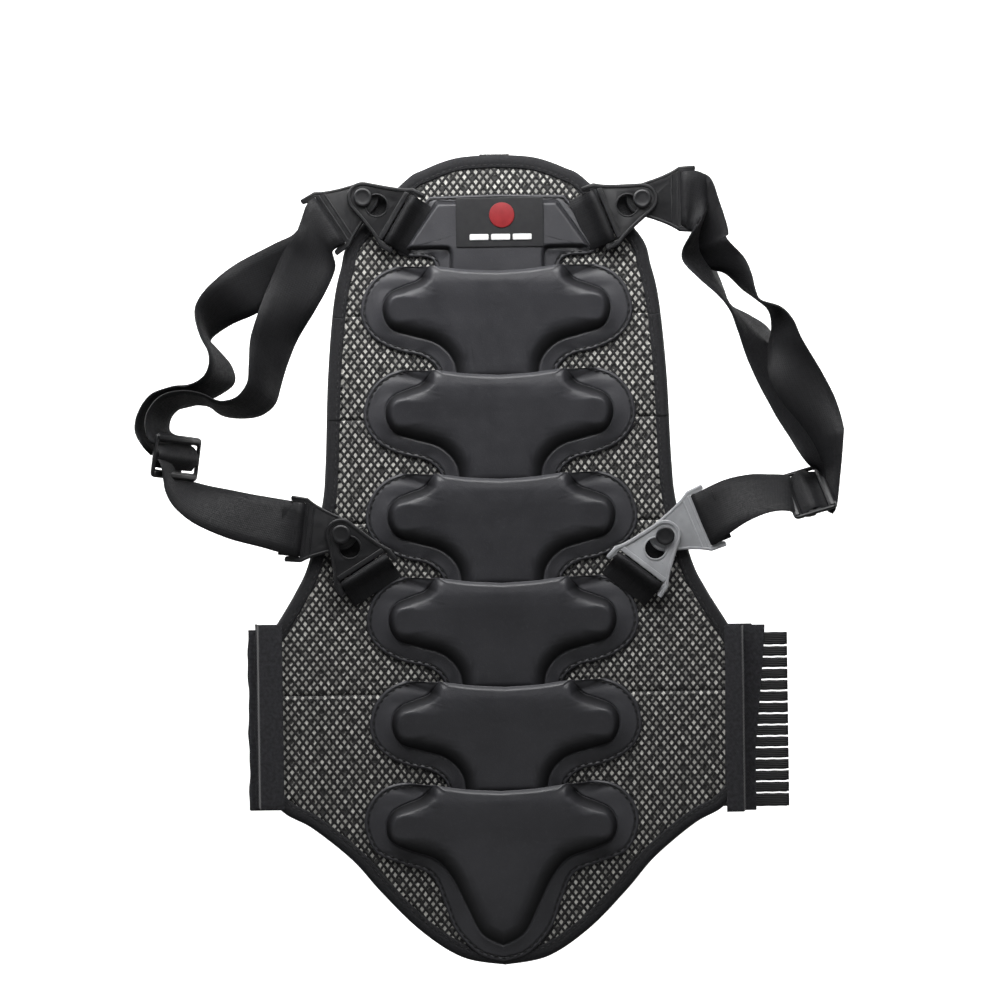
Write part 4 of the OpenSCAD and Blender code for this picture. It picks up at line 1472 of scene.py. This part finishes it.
def anchor_piece(side, place):
    """An anchor's webbing, looped round its tab's bar, and its tongue."""
    loop, loop_uv = ribbon([behind_stud(place, reach, depth, WEB_W) for reach, depth in ANCHOR_COURSE],
                           WEB_W - 0.6, 1.2, 0.9)
    tongue, tongue_uv = ribbon([behind_stud(place, reach, depth, TONGUE_W)
                                for reach, depth in TONGUE_COURSE], TONGUE_W, 1.0, 2.0)
    builder = Builder()
    builder.tube(loop)
    builder.tube(tongue)
    return builder.piece(f"anchor_webbing_{side}", WEBBING, uv=loop_uv + tongue_uv, sharp=60)


for side, place in CONNECTORS.items():
    # The lower right tabs take the lighter nylon copy, which paints in their reflection
    plastic = NYLON_PAINTED_REFLECTION if side == "lower_right" else NYLON
    tab = keyhole_tab_piece(f"keyhole_tab_{side}", place, plastic)
    strap_tab = strap_tab_piece(f"strap_tab_{side}_moulding", place, plastic)
    stud = stud_piece(f"stud_{side}_pin", place)
    anchor = anchor_piece(side, place)
    for piece, body, slot in ((tab, place[4], "buckle"), (strap_tab, f"strap_tab_{side}", "buckle"),
                              (stud, f"stud_{side}", "buckle"), (anchor, place[4], "webbing")):
        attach(piece, body)
    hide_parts(f"strap_tab_{side}")
    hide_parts(f"stud_{side}")
    # The CAD has one node for both upper anchors, one for both lower ones, and the same for tabs
    level, hand = side.split("_")
    if hand == "left":
        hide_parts(f"anchors_{level}")
        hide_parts(f"keyhole_tabs_{level}")


# ---------------------------------------------------------------- patch

PATCH_W, PATCH_H = 61.0, 34.5
PATCH_X, PATCH_Z = 3.2, 136.5
PATCH_FRONT = MESH_Y - 6.9


def patch_layer(name, loops, front, thickness, material, bevel=0.3):
    """One layer of the patch, from loops about the patch's middle."""
    solids = [flat_solid(loop, [], front, thickness, bevel) for loop in loops]
    piece = solid_piece(name, solids, (PATCH_X, 0, PATCH_Z), 0, material)
    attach(piece, "neck")
    return piece


patch = patch_layer("patch_base", [box_loop(-PATCH_W / 2, PATCH_W / 2, -PATCH_H / 2, PATCH_H / 2, 1.0)],
                    PATCH_FRONT, 1.4, RUBBER)
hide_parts("yoke_patch")
patch_layer("patch_boss", [arc((1.5, 5.0), 8.8, 0, 354, 60)], PATCH_FRONT - 0.7, 1.0, RED_RUBBER, 0.35)
patch_layer("patch_bars", [box_loop(u - 6.6, u + 6.6, -12.4, -8.2, 0.8) for u in (-14.5, 0.5, 15.5)],
            PATCH_FRONT - 0.7, 1.0, WHITE_RUBBER)


# ---------------------------------------------------------------- belt

# Depths of the back of the belts' roots, and of the two faces of the folded belts
BASE_BACK, WING_NEAR, WING_FAR = 2.5, 3.8, 6.8
# Where the belts fold back behind the panel
LEFT_FOLD, RIGHT_FOLD = -178.0, 200.0
WING_LEN = 181.0
RIGHT_END = RIGHT_FOLD - WING_LEN
BELT_HEIGHTS = (BELT_LOW[2], BELT_HIGH[2])
TAPE_HEIGHTS = (BELT_LOW[2] + 8, BELT_HIGH[2] - 8)
ROOT_DEPTHS = (0.6, BASE_BACK)


def cloth_sheet(name, body, across, heights, depths, material, stands_for=None, edge=0.0,
                columns=60, course=None, far_edge=None):
    """A padded cloth panel with rounded edges. edge is how far its near edge wanders. A course
    gives the depth of its middle at some x, and far_edge moves its far edge with the height."""
    rows = 70
    (x0, x1), (z0, z1), (y0, y1) = across, heights, depths
    builder = Builder()
    thick = (y1 - y0) / 2
    middle = (y0 + y1) / 2
    front, back = [], []
    for r in range(rows + 1):
        v = r / rows
        z = z1 + (z0 - z1) * v
        line_front, line_back = [], []
        for c in range(columns + 1):
            u = c / columns
            sway = edge * (math.sin(17 * v + 1.3) + 0.6 * math.sin(41 * v)) * (1 - u)
            x = x0 + (x1 - x0 + (far_edge(v) if far_edge else 0)) * u + sway
            if course:
                middle = float(np.interp(x, [a for a, b in course], [b for a, b in course]))
            near = min(u * (x1 - x0), (1 - u) * (x1 - x0), v * (z1 - z0), (1 - v) * (z1 - z0))
            round_off = math.sqrt(max(0.02, min(1, near / 1.6)))
            line_front.append((x, middle - thick * round_off, z))
            line_back.append((x, middle + thick * round_off, z))
        front.append(line_front)
        back.append(line_back)
    builder.sheet(front, back)
    piece = builder.piece(name, material, sharp=50)
    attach(piece, body)
    if stands_for:
        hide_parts(stands_for)


cloth_sheet("belt_left_root", "lumbar", (-177.2, -140), BELT_HEIGHTS, ROOT_DEPTHS, BELT_KNIT,
            "belt_left_base")
cloth_sheet("belt_right_root", "lumbar", (140, 176), BELT_HEIGHTS, ROOT_DEPTHS, BELT_KNIT,
            "belt_right_base")
# The belts' roots wrap round the panel's edge and are sewn down over its binding tape
LEFT_WRAP = [(-175, 0.4), (-171.4, 0), (-170.4, -2), (-169.6, -9.8), (-168.6, -11.3), (-150, -11.2)]
RIGHT_WRAP = [(150, -11.2), (167.4, -11.3), (168.4, -9.8), (169.2, -2), (170.2, 0), (190, 0.6)]
WRAP_DEPTHS = (-0.6, 0.6)
cloth_sheet("belt_left_wrap", "lumbar", (-173, -152.6), (-270.5, -141.5), WRAP_DEPTHS, BELT_KNIT,
            edge=0.6, course=LEFT_WRAP)
cloth_sheet("belt_right_wrap", "lumbar", (156, 185), (-276.5, -146.5), WRAP_DEPTHS, BELT_KNIT,
            course=RIGHT_WRAP, far_edge=lambda v: -7.5 * min(1, 1.5 * v) ** 1.2)
cloth_sheet("belt_left_panel", "left_wing", (LEFT_FOLD, LEFT_FOLD + WING_LEN), BELT_HEIGHTS,
            (WING_NEAR, WING_FAR), BELT_KNIT, "belt_left_wing", edge=0.4, columns=120)
cloth_sheet("belt_hook_tape", "left_wing", (LEFT_FOLD + 123, LEFT_FOLD + 173), TAPE_HEIGHTS,
            (2.7, WING_NEAR + 0.1), HOOKS, "belt_hook")
cloth_sheet("belt_loop_tape", "right_wing", (RIGHT_END + 8, RIGHT_END + 58), TAPE_HEIGHTS,
            (WING_FAR - 0.1, WING_FAR + 1.5), LOOPS, "belt_loop")

# The ribbed elastic is a row of bands with gaps between them
BANDS = 15
BAND_PITCH = 7.94
BAND_LOW, BAND_HIGH = -274.7, -151.5
END_BAND = (BAND_HIGH - BAND_LOW - (BANDS - 2) * BAND_PITCH) / 2
BAND_GAP = 1.2
for name, x0, x1, y0, y1, body in (
        ("belt_elastic_root", 174, 199.0, 1.0, 3.0, "lumbar"),
        ("belt_elastic_wing", RIGHT_END + 62, 200.9, 4.2, 6.2, "right_wing")):
    builder = Builder()
    for band in range(BANDS):
        low = BAND_LOW + (END_BAND + BAND_PITCH * (band - 1) if band else 0) + BAND_GAP / 2
        high = low + (BAND_PITCH if 0 < band < BANDS - 1 else END_BAND) - BAND_GAP
        ring = [(low, 0.5), (low + 0.4, 0.1), (low + 1.2, 0), (high - 1.2, 0), (high - 0.4, 0.1),
                (high, 0.5), (high - 0.4, 0.9), (high - 1.2, 1), (low + 1.2, 1), (low + 0.4, 0.9)]
        count = max(6, round((x1 - x0) / 2.5))
        builder.tube([[(x0 + (x1 - x0) * k / count, y0 + (y1 - y0) * d, z
                        + 0.12 * math.sin(k * 1.7 + band)) for z, d in ring]
                      for k in range(count + 1)])
    band_piece = builder.piece(name, ELASTIC, sharp=60)
    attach(band_piece, body)
cloth_sheet("belt_right_panel", "right_wing", (RIGHT_END, RIGHT_END + 66), BELT_HEIGHTS,
            (WING_NEAR, WING_FAR), BELT_KNIT, "belt_right_wing")


# ---------------------------------------------------------------- stage


def stage_material(name, colour, glow, see_through_back=False):
    """Pale paint that looks evenly lit to the camera and throws little light at the object."""
    material = bpy.data.materials.new(name)
    material.use_nodes = True
    nodes, links = material.node_tree.nodes, material.node_tree.links
    bsdf = nodes["Principled BSDF"]
    bsdf.inputs["Roughness"].default_value = 0.8
    noise = nodes.new("ShaderNodeTexNoise")
    noise.inputs["Scale"].default_value = 3
    ramp = nodes.new("ShaderNodeMix")
    ramp.data_type = "RGBA"
    ramp.inputs[6].default_value = (*colour, 1)
    ramp.inputs[7].default_value = (*[0.97 * c for c in colour], 1)
    links.new(noise.outputs[0], ramp.inputs[0])
    links.new(ramp.outputs[2], bsdf.inputs["Base Color"])
    bsdf.inputs["Emission Color"].default_value = (1, 1, 1, 1)
    bsdf.inputs["Emission Strength"].default_value = glow
    dim = nodes.new("ShaderNodeBsdfDiffuse")
    dim.inputs["Color"].default_value = (0.2, 0.2, 0.2, 1)
    seen = nodes.new("ShaderNodeLightPath")
    pick = nodes.new("ShaderNodeMixShader")
    links.new(seen.outputs["Is Camera Ray"], pick.inputs[0])
    links.new(dim.outputs[0], pick.inputs[1])
    links.new(bsdf.outputs[0], pick.inputs[2])
    out = nodes["Material Output"]
    links.new(pick.outputs[0], out.inputs[0])
    if see_through_back:
        clear = nodes.new("ShaderNodeBsdfTransparent")
        choose = nodes.new("ShaderNodeMixShader")
        side = nodes.new("ShaderNodeNewGeometry")
        links.new(side.outputs["Backfacing"], choose.inputs[0])
        links.new(pick.outputs[0], choose.inputs[1])
        links.new(clear.outputs[0], choose.inputs[2])
        links.new(choose.outputs[0], out.inputs[0])
    return material


def stage_sheet(name, corners, material):
    """A flat sheet that isn't part of the object."""
    mesh = bpy.data.meshes.new(name)
    mesh.from_pydata(corners, [], [tuple(range(len(corners)))])
    mesh.materials.append(material)
    sheet = bpy.data.objects.new(name, mesh)
    bpy.context.scene.collection.objects.link(sheet)


def soft_light(name, place, target, size, power):
    """A rectangular lamp that looks at a target. Places and sizes are in metres."""
    light = bpy.data.lights.new(name, "AREA")
    light.shape = "RECTANGLE"
    light.size, light.size_y = size
    light.energy = power
    lamp = bpy.data.objects.new(name, light)
    lamp.location = place
    lamp.visible_camera = False
    lamp.rotation_euler = (Vector(target) - Vector(place)).to_track_quat("-Z", "Y").to_euler()
    bpy.context.scene.collection.objects.link(lamp)


FLOOR_Z = 0.001 * TIP_Z - 0.02
WALL_Y = 0.42
stage_sheet("floor", [(-4, -4, FLOOR_Z), (4, -4, FLOOR_Z), (4, 4, FLOOR_Z), (-4, 4, FLOOR_Z)],
            stage_material("floor_paint", (0.9, 0.9, 0.9), 0.9))
stage_sheet("backdrop", [(-4, WALL_Y, FLOOR_Z), (4, WALL_Y, FLOOR_Z), (4, WALL_Y, 3), (-4, WALL_Y, 3)],
            stage_material("backdrop_paint", (0.9, 0.9, 0.9), 0.8, True))

TARGET = (0, 0, -0.02)
soft_light("key", (-0.1, -0.4, 0.6), (0, 0, 0.1), (1.1, 0.4), 13.5)
soft_light("front", (0.25, -2.3, 0.3), TARGET, (1.4, 1.2), 1.2)
soft_light("top", (0.0, -0.25, 1.2), TARGET, (1.4, 0.4), 3)
# Two lights beside the view and behind the panel show its lining from the back
for side in (-1, 1):
    soft_light("back_light", (side * 0.85, 0.37, 0.25), (0, 0.01, -0.02), (0.25, 0.9), 7)

world = bpy.data.worlds.new("studio")
world.use_nodes = True
# The room looks white to the camera and lights the object only faintly
background = world.node_tree.nodes["Background"]
background.inputs[0].default_value = (0.97, 0.98, 1, 1)
light_path = world.node_tree.nodes.new("ShaderNodeLightPath")
strength = world.node_tree.nodes.new("ShaderNodeMapRange")
strength.inputs["To Min"].default_value = 0.1
strength.inputs["To Max"].default_value = 1.0
world.node_tree.links.new(light_path.outputs["Is Camera Ray"], strength.inputs["Value"])
world.node_tree.links.new(strength.outputs[0], background.inputs[1])
bpy.context.scene.world = world
bpy.context.scene.view_settings.view_transform = "Standard"

camera_data = bpy.data.cameras.new("camera")
camera_data.lens = 113
camera_data.sensor_width = 36
camera = bpy.data.objects.new("camera", camera_data)
camera.location = (0.001 * CAMERA_X, -0.001 * CAMERA_BACK, 0.001 * CAMERA_Z)
camera.rotation_euler = Euler((math.radians(90), CAMERA_ROLL, 0))
bpy.context.scene.collection.objects.link(camera)
bpy.context.scene.camera = camera
